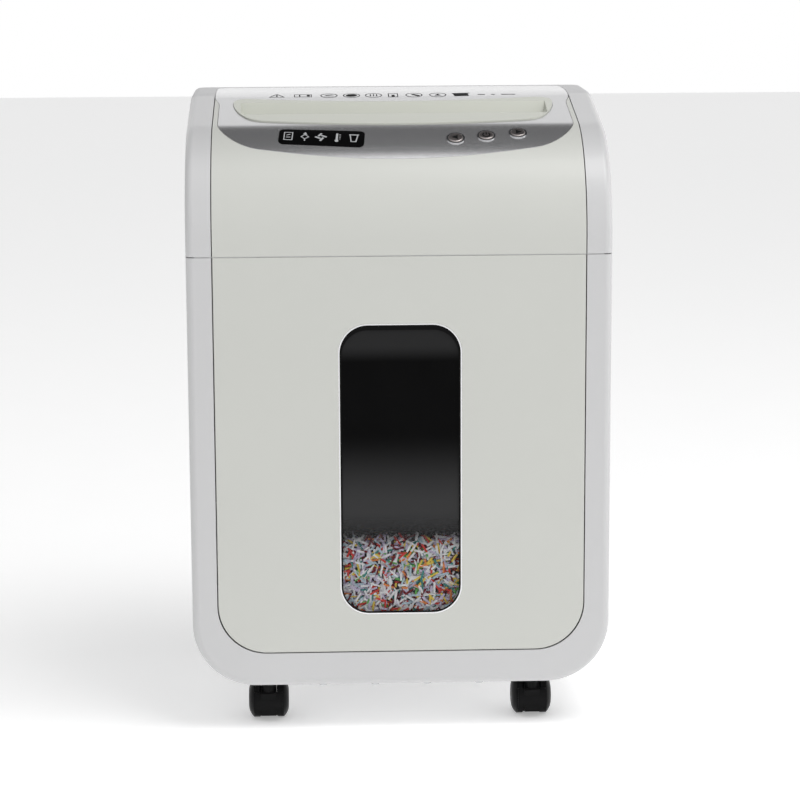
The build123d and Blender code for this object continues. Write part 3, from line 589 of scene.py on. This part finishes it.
@dataclass(frozen=True)
class SmokedAcrylic:
    """Dark clear sheet that lets some light through, paler in patches just above the heap, and made pale at
    its top by painted light.

    The spans are heights up the sheet: clear to covered, pale band to plain, and dark to its top, which
    painted light makes pale.
    """

    name: str
    colour: Colour
    pale_colour: Colour
    cover_span: tuple[float, float]
    pale_band_span: tuple[float, float]
    painted_light_span: tuple[float, float]
    film: float
    # Painted light: how far the top of the sheet is lightened towards the pale colour.
    painted_light_share: float = 0.55
    patch_share: float = 0.05
    specular: float = 0.04
    roughness: float = 0.16
    roughness_swing: float = 0.04

    def build(self) -> bpy.types.Material:
        """Make the material: opacity follows the height up the sheet.

        Returns:
            The acrylic.
        """
        material, shader = start_material(self.name)
        tree = material.node_tree
        place = tree.nodes.new("ShaderNodeTexCoord")
        split = tree.nodes.new("ShaderNodeSeparateXYZ")
        tree.links.new(place.outputs["Object"], split.inputs["Vector"])
        height = split.outputs["Z"]
        cover = ramp(tree, height, self.cover_span, 0.0, 1.0)
        # The sheet is paler just above the heap, fading upward and broken into patches.
        pale_band = ramp(tree, height, self.pale_band_span, 1.0, 0.0)
        patches = noise(tree, detail=4.0, rough=0.6, scale=30.0)
        tree.links.new(place.outputs["Object"], patches.inputs["Vector"])
        broken = maths(tree, "MULTIPLY_ADD")
        broken.inputs[1].default_value = self.patch_share
        tree.links.new(patches.outputs["Fac"], broken.inputs[0])
        tree.links.new(pale_band.outputs["Result"], broken.inputs[2])
        # Painted light: the top of the sheet turns pale, standing in for light on it, not a colour of the
        # acrylic.
        painted_light_top = ramp(tree, height, self.painted_light_span, 0.0, self.painted_light_share)
        both = maths(tree, "MAXIMUM", clamp=True)
        tree.links.new(broken.outputs["Value"], both.inputs[0])
        tree.links.new(painted_light_top.outputs["Result"], both.inputs[1])
        base = tint(tree, both.outputs["Value"], self.colour, self.pale_colour)
        tree.links.new(base.outputs[MIX_RESULT], shader.inputs["Base Color"])
        opacity = maths(tree, "MAXIMUM", clamp=True)
        opacity.inputs[1].default_value = self.film
        tree.links.new(cover.outputs["Result"], opacity.inputs[0])
        tree.links.new(opacity.outputs["Value"], shader.inputs["Alpha"])
        shader.inputs["Specular IOR Level"].default_value = self.specular
        vary(tree, patches.outputs["Fac"], shader.inputs["Roughness"], self.roughness, self.roughness_swing)
        return material


@dataclass(frozen=True)
class PaperStock:
    """Office paper with faint fibre and traces of print."""

    name: str
    colour: Colour
    second: Optional[Colour] = None
    patch_scale: float = 260.0
    fibre_scale: float = 2600.0
    fibre_relief: float = 0.2
    printed_share: float = 0.72
    bare_share: float = 1.15
    roughness: float = 0.825
    roughness_swing: float = 0.075

    def build(self) -> bpy.types.Material:
        """Make the material.

        Returns:
            The paper.
        """
        material, shader = start_material(self.name)
        tree = material.node_tree
        fibre = place_effect(
            tree, Effect.MOULD_GRAIN, Grain_Scale=self.fibre_scale, Cloud_Scale=self.patch_scale
        )
        patches = fibre.outputs["Cloud"]
        bare = self.second or scaled(self.colour, self.bare_share)
        base = tint(tree, patches, scaled(self.colour, self.printed_share), bare)
        tree.links.new(base.outputs[MIX_RESULT], shader.inputs["Base Color"])
        vary(tree, patches, shader.inputs["Roughness"], self.roughness, self.roughness_swing)
        emboss(tree, shader, fibre.outputs["Height"], self.fibre_relief, SKIN_DEPTH)
        return material


def finish_table() -> dict[str, bpy.types.Material]:
    """Every finish of the shredder, by the record's slot name.

    Returns:
        Slot name to material.
    """
    plastic, metal = MouldedPlastic, WorkedMetal
    finishes = [
        plastic("white_shell", (0.6, 0.6, 0.605), 0.36, gloss_coat=0.12),
        plastic("front_panel", (0.6, 0.607, 0.572), 0.42, gloss_coat=0.06),
        MetallicPaint("silver_deck", (0.7, 0.7, 0.71), 0.19),
        # Painted shade: cream_slot's darker, yellower tone stands in for the shade inside the slot's
        # recess.
        plastic("cream_slot", (0.58, 0.592, 0.53), 0.34, gloss_coat=0.1),
        plastic("grey_rear", (0.56, 0.56, 0.57), 0.5, grain=0.3, dust=0.1),
        plastic("black_gloss", (0.003, 0.003, 0.0032), 0.2, grain=0.01, specular=0.08),
        metal("bright_trim", (0.85, 0.85, 0.86), 0.16, lines=0.02),
        metal("button_taupe", (0.42, 0.385, 0.375), 0.34, lines=0.05),
        plastic("dark_plastic", (0.045, 0.045, 0.047), 0.5, grain=0.25, dust=0.35),
        plastic("rail_plastic", (0.28, 0.28, 0.29), 0.45, dust=0.3),
        metal("bare_steel", (0.58, 0.59, 0.6), 0.3),
        metal("bronze", (0.6, 0.42, 0.2), 0.38, lines=0.1),
        plastic("nylon_gear", (0.82, 0.81, 0.75), 0.4, grain=0.08),
        metal("motor_zinc", (0.5, 0.51, 0.53), 0.36, lines=0.1),
        metal("copper_winding", (0.7, 0.32, 0.14), 0.3, lines=0.8, line_scale=1400.0),
        plastic("green_board", (0.03, 0.2, 0.08), 0.3, grain=0.05, gloss_coat=0.3),
        plastic("caster_black", (0.005, 0.005, 0.0053), 0.42, grain=0.2, specular=0.1),
        plastic("caster_tread", (0.0045, 0.0045, 0.0048), 0.36, grain=0.15, specular=0.12),
        plastic("mark_ink", (0.006, 0.006, 0.0065), 0.6, specular=0.1),
        plastic("mark_grey", (0.42, 0.43, 0.44), 0.5),
    ]
    return {item.name: item.build() for item in finishes}


class Piece:
    """Shared steps that end every new piece."""

    @staticmethod
    def dress(obj: bpy.types.Object, material: bpy.types.Material) -> None:
        """Give a piece one material all over."""
        obj.data.materials.clear()
        obj.data.materials.append(material)

    @staticmethod
    def ride(obj: bpy.types.Object, body: str, slot: str) -> bpy.types.Object:
        """Put a settled piece on its body.

        Args:
            obj: The piece.
            body: The CAD body that carries it.
            slot: The record's material slot; not used.

        Returns:
            The same piece.
        """
        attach(obj, body)
        log.info("%s rides on %s", obj.name, body)
        return obj


@dataclass
class FrameDress:
    """Gives every carried CAD node the finish that its slot names."""

    finishes: dict[str, bpy.types.Material]

    def build(self) -> None:
        """Put each finish on its nodes."""
        for name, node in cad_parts.items():
            for place in node.material_slots:
                slot = place.material.name.split(".")[0]
                if slot not in self.finishes:
                    raise ValueError(f"no finish for slot {slot} of {name}")
                place.material = self.finishes[slot]
            log.info("%s is dressed", name)


# ------------------------------------------------------------------ printed marks
class Outline(Enum):
    """Simple shapes that the printed marks are put together from."""

    RING = 48
    TRIANGLE = 3
    BOX = 4


@dataclass
class MarkMaker:
    """Draws flat shapes in the X-Y plane and lays them on a CAD surface as a thin print."""

    line: float = 0.7 * MM
    ink: float = 0.07 * MM
    lift: float = 0.03 * MM
    gap_share: float = 0.2
    parts: list[bpy.types.Object] = field(default_factory=list)

    def shape(
        self, kind: Outline, at: tuple[float, float], size: tuple[float, float], turn: float = 0.0,
        hollow: bool = True, open_top: bool = False,
    ) -> None:
        """Add one outline or filled shape.

        Args:
            kind: Which shape.
            at: Its middle.
            size: Its width and height.
            turn: Turn anticlockwise, in degrees.
            hollow: True leaves only a line round its edge.
            open_top: True also opens that line at its top.
        """
        deselect_all()
        half_turn = math.pi / 4 if kind is Outline.BOX else 0.0
        radius = math.sqrt(0.5) if kind is Outline.BOX else 0.5
        bpy.ops.mesh.primitive_circle_add(
            vertices=kind.value, radius=radius, fill_type="NGON", rotation=(0, 0, half_turn)
        )
        flat = settle(bpy.context.object)
        flat.scale = (*size, 1.0)
        settle(flat)
        if hollow:
            pick_faces(flat, lambda centre, normal: True)
            bpy.ops.mesh.inset(thickness=self.line)
            bpy.ops.mesh.delete(type="FACE")
            bpy.ops.object.mode_set(mode="OBJECT")
        if open_top:
            gap = size[0] * self.gap_share
            pick_faces(flat, lambda centre, normal: centre.y > 0 and abs(centre.x) < gap)
            bpy.ops.mesh.delete(type="FACE")
            bpy.ops.object.mode_set(mode="OBJECT")
        flat.rotation_euler.z = math.radians(turn)
        flat.location = (*at, 0.0)
        self.parts.append(settle(flat))

    def bar(self, at: tuple[float, float], size: tuple[float, float], turn: float = 0.0) -> None:
        """Add a plain filled bar."""
        self.shape(Outline.BOX, at, size, turn, hollow=False)

    def lay(self, name: str, place: Matrix, target: str, cuts: int = 2) -> bpy.types.Object:
        """Join the shapes and print them on a CAD node.

        Args:
            name: The piece's name.
            place: Frame above the surface, Z out of it.
            target: The CAD node that carries the print.
            cuts: How finely the shapes are divided, to follow a curve.

        Returns:
            The print, settled.
        """
        print_ = named(merged(self.parts), name)
        self.parts = []
        pick_faces(print_, lambda centre, normal: True)
        bpy.ops.mesh.quads_convert_to_tris()
        bpy.ops.mesh.subdivide(number_cuts=cuts)
        bpy.ops.object.mode_set(mode="OBJECT")
        print_.matrix_world = place
        finish_with(
            print_, "SHRINKWRAP", target=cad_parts[target], wrap_method="PROJECT",
            use_project_z=True, use_negative_direction=True, use_positive_direction=False,
            offset=self.lift,
        )
        finish_with(print_, "SOLIDIFY", thickness=self.ink, offset=1.0)
        return settle(print_)


@dataclass
class DeckPrint:
    """Row of dark pictograms behind the feed slot."""

    finishes: dict[str, bpy.types.Material]
    row_y: float = 35.0 * MM
    mark: float = 14.5 * MM
    line: float = 0.75 * MM
    stand_off: float = 5.0 * MM
    lean: float = 6.0

    def build(self) -> bpy.types.Object:
        """Print the row of marks on the deck.

        Returns:
            The print.
        """
        pen = MarkMaker(line=self.line)
        caution, sheet, clips, blot, heat, bin_, slash, child, stack = (
            x * MM for x in (-97.7, -75.6, -53.5, -34.4, -15.7, 0.9, 18.7, 39.0, 58.7)
        )
        pen.shape(Outline.TRIANGLE, (caution, -1 * MM), (15.5 * MM, 15.5 * MM))
        pen.bar((caution, 0), (1.3 * MM, 5 * MM))
        pen.shape(Outline.BOX, (sheet, 0), (15 * MM, 9 * MM))
        pen.bar((sheet - 2.7 * MM, 0), (1 * MM, 9 * MM))
        pen.shape(Outline.RING, (sheet + 4.6 * MM, 0), (3 * MM, 5 * MM), hollow=False)
        for ringed in (clips, blot, heat, slash, child):
            pen.shape(Outline.RING, (ringed, 0), (self.mark, self.mark))
        pen.bar((clips, -1.6 * MM), (8 * MM, 1 * MM))
        pen.bar((clips, 1.8 * MM), (6 * MM, 1 * MM), turn=20)
        pen.shape(Outline.RING, (blot, 0), (9.5 * MM, 8.5 * MM), turn=25, hollow=False)
        for offset in (-2.6, 0, 2.6):
            pen.bar((heat + offset * MM, 0), (1 * MM, 6 * MM))
        pen.shape(Outline.BOX, (bin_, 0), (8.5 * MM, 13 * MM))
        pen.bar((bin_, -2 * MM), (2.6 * MM, 6 * MM))
        pen.bar((slash + 1.3 * MM, -0.5 * MM), (8 * MM, 3.2 * MM), turn=-45)
        pen.shape(Outline.TRIANGLE, (child, -0.5 * MM), (6.5 * MM, 8 * MM), hollow=False)
        pen.bar((stack, 0), (12.5 * MM, 9.5 * MM), turn=self.lean)
        pen.bar((stack, 5.2 * MM), (15 * MM, 2 * MM), turn=self.lean)
        for x, length in ((76, 6), (86, 3), (99, 12)):
            pen.bar((x * MM, 0), (length * MM, 1.6 * MM))
        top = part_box("top_deck")[1].z
        place = surface_frame(Vector((0, self.row_y, top + self.stand_off)), Vector((0, 0, 1)))
        obj = pen.lay("deck_pictograms", place, "top_deck")
        Piece.dress(obj, self.finishes["mark_ink"])
        return Piece.ride(obj, "cabinet", "dark_plastic")


@dataclass
class BrowFrame:
    """The head's curved brow, whose arc runs along X."""

    radius: float = 90.0 * MM
    half_seam: float = 0.4 * MM
    seam_to_axis: float = 11.0 * MM
    stand_off: float = 6.0 * MM

    def above(self, node: str, turn: float = 0.0) -> Matrix:
        """Frame just off the brow over a CAD node.

        Args:
            node: The CAD node.
            turn: Turn about the brow's normal, in degrees.

        Returns:
            The frame, Z out of the surface.
        """
        low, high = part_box(node)
        centre = (low + high) / 2
        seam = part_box("head_front_panel")[0].z - self.half_seam
        axis = Vector((centre.x, CAD_LOW.y + self.radius, seam + self.seam_to_axis))
        out = (centre - axis).normalized()
        return surface_frame(axis + out * (self.radius + self.stand_off), out, turn)


@dataclass
class IndicatorIcons:
    """Five pale icons printed on the black indicator lens."""

    finishes: dict[str, bpy.types.Material]
    tilt: float = 4.4
    high: float = 12.0 * MM
    line: float = 0.8 * MM

    def build(self) -> bpy.types.Object:
        """Print the icons along the lens.

        Returns:
            The print.
        """
        pen = MarkMaker(line=self.line)
        door, feed, swirl, heat, full = (x * MM for x in (-27.0, -13.5, -0.6, 12.4, 26.1))
        pen.shape(Outline.BOX, (door, 0), (7.4 * MM, self.high))
        pen.bar((door, 1.8 * MM), (3.6 * MM, 0.9 * MM), turn=30)
        pen.bar((door, -1.8 * MM), (3.6 * MM, 0.9 * MM))
        pen.shape(Outline.BOX, (feed, -0.5 * MM), (5.2 * MM, 5.2 * MM), turn=45)
        pen.shape(Outline.TRIANGLE, (feed, 4.2 * MM), (4.4 * MM, 5 * MM), hollow=False)
        pen.bar((feed, -5 * MM), (0.9 * MM, 2.8 * MM))
        for quarter in range(4):
            angle = math.radians(90 * quarter + 20)
            spot = (swirl + 2.5 * MM * math.cos(angle), 3.4 * MM * math.sin(angle))
            pen.bar(spot, (1.7 * MM, 5.2 * MM), turn=90 * quarter + 62)
        pen.bar((heat, 1.2 * MM), (1.7 * MM, self.high - 2.4 * MM))
        pen.shape(Outline.RING, (heat, -4.6 * MM), (3 * MM, 3.2 * MM), hollow=False)
        for step in range(4):
            pen.bar((heat + 2.4 * MM, (4.4 - 2.2 * step) * MM), (1.3 * MM, 0.6 * MM))
        pen.bar((full - 2.5 * MM, -0.6 * MM), (0.9 * MM, 9 * MM), turn=7)
        pen.bar((full + 2.5 * MM, -0.6 * MM), (0.9 * MM, 9 * MM), turn=-7)
        pen.bar((full, -5 * MM), (4.6 * MM, 0.9 * MM))
        pen.bar((full, 4.6 * MM), (8 * MM, 1.3 * MM))
        place = BrowFrame().above("indicator_lens", self.tilt)
        obj = pen.lay("lens_icons", place, "indicator_lens", cuts=4)
        Piece.dress(obj, self.finishes["mark_grey"])
        return Piece.ride(obj, "cabinet", "rail_plastic")


class Symbol(Enum):
    """What a button's cap shows."""

    REVERSE = "reverse"
    POWER = "power"
    FORWARD = "forward"


@dataclass
class ButtonSymbols:
    """A dark symbol printed on each button cap."""

    finishes: dict[str, bpy.types.Material]
    size: float = 6.6 * MM
    line: float = 0.95 * MM

    def build(self) -> list[bpy.types.Object]:
        """Print one symbol on each cap.

        Returns:
            The three prints.
        """
        made = []
        for symbol in Symbol:
            pen = MarkMaker(line=self.line)
            if symbol is Symbol.POWER:
                pen.shape(Outline.RING, (0, -0.2 * MM), (self.size, self.size), open_top=True)
                pen.bar((0, 1.7 * MM), (0.9 * MM, 3.6 * MM))
            else:
                pen.shape(
                    Outline.TRIANGLE, (0, 0), (self.size, self.size), hollow=False,
                    turn=90 if symbol is Symbol.REVERSE else -90,
                )
            node = f"{symbol.value}_button"
            obj = pen.lay(f"{symbol.value}_symbol", BrowFrame().above(node), node)
            Piece.dress(obj, self.finishes["mark_ink"])
            made.append(Piece.ride(obj, node, "dark_plastic"))
        return made


@dataclass
class SeamLip:
    """Pale lip set back in the seam between the head and the lower cabinet."""

    finishes: dict[str, bpy.types.Material]
    clear: float = 0.12 * MM
    set_back: float = 0.45 * MM
    depth: float = 2.0 * MM
    corner: float = 7.0 * MM
    rear_gap: float = 13.0 * MM
    edge: float = 0.1 * MM

    def bar(self, centre: Vector, size: Vector) -> bpy.types.Object:
        """Model one straight run of the lip, its edges rounded.

        Args:
            centre: Its middle.
            size: Its width, depth and height.

        Returns:
            The bar.
        """
        deselect_all()
        bpy.ops.mesh.primitive_cube_add(size=1.0, location=centre)
        bar = bpy.context.object
        bar.scale = size
        settle(bar)
        pick_faces(bar, lambda middle, normal: True)
        bpy.ops.mesh.bevel(offset=self.edge, segments=2)
        bpy.ops.object.mode_set(mode="OBJECT")
        return bar

    def build(self) -> bpy.types.Object:
        """Make the front run and both side runs.

        Returns:
            The lip.
        """
        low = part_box("drawer_front")[1].z + self.clear
        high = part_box("head_front_panel")[0].z - self.clear
        middle, tall = (low + high) / 2, high - low
        front = CAD_LOW.y + self.set_back + self.depth / 2
        across = Vector((2 * (CAD_HIGH.x - self.corner), self.depth, tall))
        runs = [self.bar(Vector((0, front, middle)), across)]
        start, end = CAD_LOW.y + self.corner, CAD_HIGH.y - self.rear_gap
        along = Vector((self.depth, end - start, tall))
        for side in (-1, 1):
            x = side * (CAD_HIGH.x - self.set_back - self.depth / 2)
            runs.append(self.bar(Vector((x, (start + end) / 2, middle)), along))
        lip = settle(named(merged(runs), "seam_lip"))
        Piece.dress(lip, self.finishes["white_shell"])
        return Piece.ride(lip, "cabinet", "white_shell")


# ------------------------------------------------------------------ paper in the bin
class Paper(Enum):
    """Colours of the shredded paper: name, colour and share of the strips."""

    WHITE = ("white", (0.82, 0.82, 0.84), 34)
    LILAC = ("lilac", (0.56, 0.5, 0.66), 16)
    BLUE = ("pale_blue", (0.46, 0.58, 0.66), 8)
    RED = ("red", (0.62, 0.06, 0.05), 10)
    MAROON = ("maroon", (0.16, 0.012, 0.02), 10)
    YELLOW = ("yellow", (0.78, 0.58, 0.1), 7)
    ORANGE = ("orange", (0.74, 0.24, 0.07), 6)
    GREEN = ("green", (0.13, 0.4, 0.1), 5)
    TEAL = ("teal", (0.06, 0.25, 0.23), 4)


@dataclass
class ShredHeap:
    """Loose cross-cut shreds: a rough bed with strips lying on it and against the window."""

    strip_width: float = 1.7 * MM
    strip_length: float = 6.6 * MM
    paper: float = 0.14 * MM
    front_strips: int = 1300
    top_strips: int = 1900
    shape_count: int = 5
    seed: int = 7
    below_window: float = 1.0 * MM
    pile_up: float = 13.0 * MM
    crowding: float = 1.15
    window_gap: tuple[float, float] = (3.0 * MM, 6.0 * MM)
    front_lean: float = 28.0
    wall_gap: float = 5.0 * MM
    top_depth: tuple[float, float] = (-4.0 * MM, 3.0 * MM)
    top_lean: float = 0.5
    bed_inset: float = 4.0 * MM
    bed_corner: float = 24.0 * MM
    bed_cell: float = 3.5 * MM
    lump_size: float = 9.0 * MM
    lump_height: float = 6.0 * MM

    def strip(self, index: int) -> bpy.types.Object:
        """Model one curled and twisted strip at the origin.

        Args:
            index: Which of the strip shapes.

        Returns:
            The strip, lying along X.
        """
        deselect_all()
        bpy.ops.mesh.primitive_plane_add(size=1.0)
        strip = bpy.context.object
        length_share = 0.75 + 0.17 * index
        curl, twist = math.radians(50 + 32 * index), math.radians(24 * (index - 2))
        strip.scale = (self.strip_length * length_share, self.strip_width, 1.0)
        settle(strip)
        pick_faces(strip, lambda centre, normal: True)
        bpy.ops.mesh.select_mode(type="EDGE")
        bpy.ops.mesh.select_all(action="DESELECT")
        bpy.ops.object.mode_set(mode="OBJECT")
        for edge in strip.data.edges:
            first, last = (strip.data.vertices[i].co for i in edge.vertices)
            edge.select = abs(first.x - last.x) > abs(first.y - last.y)
        bpy.ops.object.mode_set(mode="EDIT")
        bpy.ops.mesh.subdivide(number_cuts=3)
        bpy.ops.object.mode_set(mode="OBJECT")
        finish_with(strip, "SIMPLE_DEFORM", deform_method="BEND", angle=curl, deform_axis="Y")
        finish_with(strip, "SIMPLE_DEFORM", deform_method="TWIST", angle=twist, deform_axis="X")
        finish_with(strip, "SOLIDIFY", thickness=self.paper, offset=0.0)
        return strip

    def places(self) -> list[Matrix]:
        """Choose where each strip lies, front ones first.

        Returns:
            A placing matrix for each strip.
        """
        low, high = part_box("shred_heap")
        window_low, window_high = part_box("window_lens")
        chance = random.Random(self.seed)
        found = []
        rise = high.z + self.pile_up - window_low.z
        for _ in range(self.front_strips):
            height = window_low.z - self.below_window + rise * chance.random() ** self.crowding
            across = chance.uniform(window_low.x, window_high.x)
            back = window_high.y + chance.uniform(*self.window_gap)
            tip = math.radians(90 + chance.uniform(-self.front_lean, self.front_lean))
            lean = Euler((tip, chance.uniform(0, math.tau), 0))
            found.append(Matrix.Translation((across, back, height)) @ lean.to_matrix().to_4x4())
        edge = self.wall_gap
        for _ in range(self.top_strips):
            across = chance.uniform(low.x + edge, high.x - edge)
            back = chance.uniform(low.y + edge, high.y - edge)
            height = high.z + chance.uniform(*self.top_depth)
            tip, tilt = (chance.uniform(-self.top_lean, self.top_lean) for _ in range(2))
            lean = Euler((tip, tilt, chance.uniform(0, math.tau)))
            found.append(Matrix.Translation((across, back, height)) @ lean.to_matrix().to_4x4())
        return found

    def build_bed(self) -> bpy.types.Object:
        """Model the mass of paper under the loose strips.

        Returns:
            The bed, in place of the CAD heap.
        """
        low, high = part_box("shred_heap")
        inset = Vector((self.bed_inset,) * 3)
        low, high = low + inset, high - inset
        deselect_all()
        bpy.ops.mesh.primitive_cube_add(size=1.0, location=(low + high) / 2)
        bed = named(bpy.context.object, "shred_bed")
        bed.scale = high - low
        settle(bed)
        take(bed)
        bpy.ops.object.mode_set(mode="EDIT")
        bpy.ops.mesh.select_mode(type="EDGE")
        bpy.ops.mesh.select_all(action="DESELECT")
        bpy.ops.object.mode_set(mode="OBJECT")
        for edge in bed.data.edges:
            first, last = (bed.data.vertices[i].co for i in edge.vertices)
            runs_back = abs(first.y - last.y) > (high.y - low.y) / 2
            edge.select = runs_back and first.z < (low.z + high.z) / 2
        bpy.ops.object.mode_set(mode="EDIT")
        bpy.ops.mesh.bevel(offset=self.bed_corner, segments=6)
        bpy.ops.object.mode_set(mode="OBJECT")
        finish_with(bed, "REMESH", mode="VOXEL", voxel_size=self.bed_cell)
        lumps = bpy.data.textures.new("paper_lumps", "CLOUDS")
        lumps.noise_scale = self.lump_size
        finish_with(
            bed, "DISPLACE", texture=lumps, texture_coords="LOCAL",
            strength=self.lump_height, mid_level=0.6,
        )
        take(bed)
        bpy.ops.object.shade_smooth_by_angle(angle=math.radians(30))
        # Painted shade: the bed's dark colours stand in for the shade deep among the shreds.
        paper_mass = PaperStock("paper_mass", (0.3, 0.28, 0.3), (0.07, 0.06, 0.07), patch_scale=380.0)
        Piece.dress(bed, paper_mass.build())
        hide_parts("shred_heap")
        return Piece.ride(bed, "drawer", "paper_shreds")

    def build(self) -> list[bpy.types.Object]:
        """Make the bed and scatter the strips, one piece for each paper colour.

        Returns:
            The bed and the strips' pieces.
        """
        made = [self.build_bed()]
        shapes = [self.strip(index) for index in range(self.shape_count)]
        chance = random.Random(self.seed + 1)
        colours = list(Paper)
        shares = [paper.value[2] for paper in colours]
        groups: dict[Paper, list[bpy.types.Object]] = {paper: [] for paper in colours}
        for place in self.places():
            model = chance.choice(shapes)
            copy = bpy.data.objects.new("strip", model.data.copy())
            bpy.context.collection.objects.link(copy)
            copy.matrix_world = place
            groups[chance.choices(colours, shares)[0]].append(copy)
        for model in shapes:
            bpy.data.objects.remove(model)
        for paper, strips in groups.items():
            name, colour, _ = paper.value
            obj = settle(named(merged(strips), f"shreds_{name}"))
            Piece.dress(obj, PaperStock(f"paper_{name}", colour).build())
            made.append(Piece.ride(obj, "drawer", "paper_shreds"))
        return made


# ------------------------------------------------------------------ studio
@dataclass
class Studio:
    """Plain pale floor, soft light and the camera."""

    lens_mm: float = 118.395
    sensor_mm: float = 36.0
    distance: float = 2.25
    pitch: float = 10.8
    yaw: float = 2.0
    roll: float = 0.3
    aim_z: float = 0.253
    aim_right: float = 4.3 * MM
    floor_size: float = 14.0
    flag_height: tuple[float, float] = (0.42, 0.62)
    flag_depth: tuple[float, float] = (-0.14, 0.16)
    left_span: tuple[float, float] = (-0.85, -0.3)
    left_shade: float = 0.5
    front_span: tuple[float, float] = (-0.6, -0.15)
    front_shade: float = 0.3

    def build_floor(self) -> None:
        """Large pale floor under the casters."""
        deselect_all()
        bpy.ops.mesh.primitive_plane_add(size=self.floor_size, location=(0, 0, CAD_LOW.z))
        floor = settle(named(bpy.context.object, "studio_floor"))
        matt = MouldedPlastic("floor_paper", (0.93, 0.93, 0.93), 0.9, grain=0.0, specular=0.0, glow=0.34)
        Piece.dress(floor, matt.build())
        floor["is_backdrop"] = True

    def build_world(self) -> None:
        """White surroundings: a dark flag high behind, and dimmer left and front sides."""
        world = bpy.data.worlds.new("studio")
        bpy.context.scene.world = world
        world.use_nodes = True
        tree = world.node_tree
        sky = tree.nodes["Background"]
        place = tree.nodes.new("ShaderNodeTexCoord")
        split = tree.nodes.new("ShaderNodeSeparateXYZ")
        tree.links.new(place.outputs["Generated"], split.inputs["Vector"])
        overhead = ramp(tree, split.outputs["Z"], self.flag_height, 0.0, 1.0)
        behind = ramp(tree, split.outputs["Y"], self.flag_depth, 0.0, 1.0)
        flag = maths(tree, "MULTIPLY")
        tree.links.new(overhead.outputs["Result"], flag.inputs[0])
        tree.links.new(behind.outputs["Result"], flag.inputs[1])
        left = ramp(tree, split.outputs["X"], self.left_span, self.left_shade, 0.0)
        dim = maths(tree, "MAXIMUM", clamp=True)
        tree.links.new(flag.outputs["Value"], dim.inputs[0])
        tree.links.new(left.outputs["Result"], dim.inputs[1])
        front = ramp(tree, split.outputs["Y"], self.front_span, self.front_shade, 0.0)
        shaded = maths(tree, "MAXIMUM", clamp=True)
        tree.links.new(dim.outputs["Value"], shaded.inputs[0])
        tree.links.new(front.outputs["Result"], shaded.inputs[1])
        shade = tint(tree, shaded.outputs["Value"], (1.0, 1.0, 1.0), (0.05, 0.05, 0.052))
        tree.links.new(shade.outputs[MIX_RESULT], sky.inputs["Color"])
        sky.inputs["Strength"].default_value = 1.0

    def build_lights(self) -> None:
        """Soft panels: one high over the front, one low at the right."""
        target = Vector((0, 0, self.aim_z))
        for name, spot, size, power in (
            ("key_panel", Vector((0.7, -0.7, 2.3)), 1.1, 18.0),
            ("side_panel", Vector((2.0, -0.4, 0.7)), 1.2, 3.5),
        ):
            data = bpy.data.lights.new(name, "AREA")
            data.size = size
            data.energy = power
            lamp = bpy.data.objects.new(name, data)
            bpy.context.collection.objects.link(lamp)
            lamp.location = spot
            lamp.rotation_euler = (target - spot).to_track_quat("-Z", "Y").to_euler()

    def build_camera(self) -> None:
        """Camera in front, a little above and to the left."""
        pitch, yaw, roll = (math.radians(angle) for angle in (self.pitch, self.yaw, self.roll))
        level = math.cos(pitch)
        view = Vector((math.sin(yaw) * level, math.cos(yaw) * level, -math.sin(pitch)))
        right = Vector((math.cos(yaw), -math.sin(yaw), 0))
        up = right.cross(view)
        right, up = (
            right * math.cos(roll) - up * math.sin(roll), right * math.sin(roll) + up * math.cos(roll)
        )
        eye = Vector((0, 0, self.aim_z)) - view * self.distance
        view = (Vector((0, 0, self.aim_z)) + right * self.aim_right - eye).normalized()
        right = (right - view * right.dot(view)).normalized()
        up = right.cross(view)
        data = bpy.data.cameras.new("camera")
        data.lens = self.lens_mm
        data.sensor_width = self.sensor_mm
        data.clip_end = 100.0
        camera = bpy.data.objects.new("camera", data)
        bpy.context.collection.objects.link(camera)
        turned = Matrix((right, up, -view)).transposed().to_4x4()
        camera.matrix_world = Matrix.Translation(eye) @ turned
        bpy.context.scene.camera = camera

    def build(self) -> None:
        """Set up the whole studio."""
        bpy.context.scene.view_settings.view_transform = "Standard"
        self.build_camera()
        self.build_world()
        self.build_lights()
        self.build_floor()


def main() -> None:
    """Build the studio, the finishes and every piece in order."""
    for make in (build_mould_grain, build_metal_flake, build_brushed, build_dust):
        make()
    Studio().build()
    finishes = finish_table()
    # Its second colour serves the pale band above the heap and the painted light at the sheet's top.
    window = SmokedAcrylic(
        "smoked_window", (0.0012, 0.0012, 0.0013), (0.04, 0.04, 0.041),
        cover_span=(0.146, 0.186), pale_band_span=(0.186, 0.25), painted_light_span=(0.306, 0.322), film=0.1,
    ).build()
    paper = PaperStock("paper_plain", (0.6, 0.58, 0.57)).build()
    finishes.update({"smoked_window": window, "paper_shreds": paper})
    FrameDress(finishes).build()
    DeckPrint(finishes).build()
    IndicatorIcons(finishes).build()
    ButtonSymbols(finishes).build()
    SeamLip(finishes).build()
    ShredHeap().build()
    bpy.context.view_layer.update()


if __name__ == "__main__":
    main()
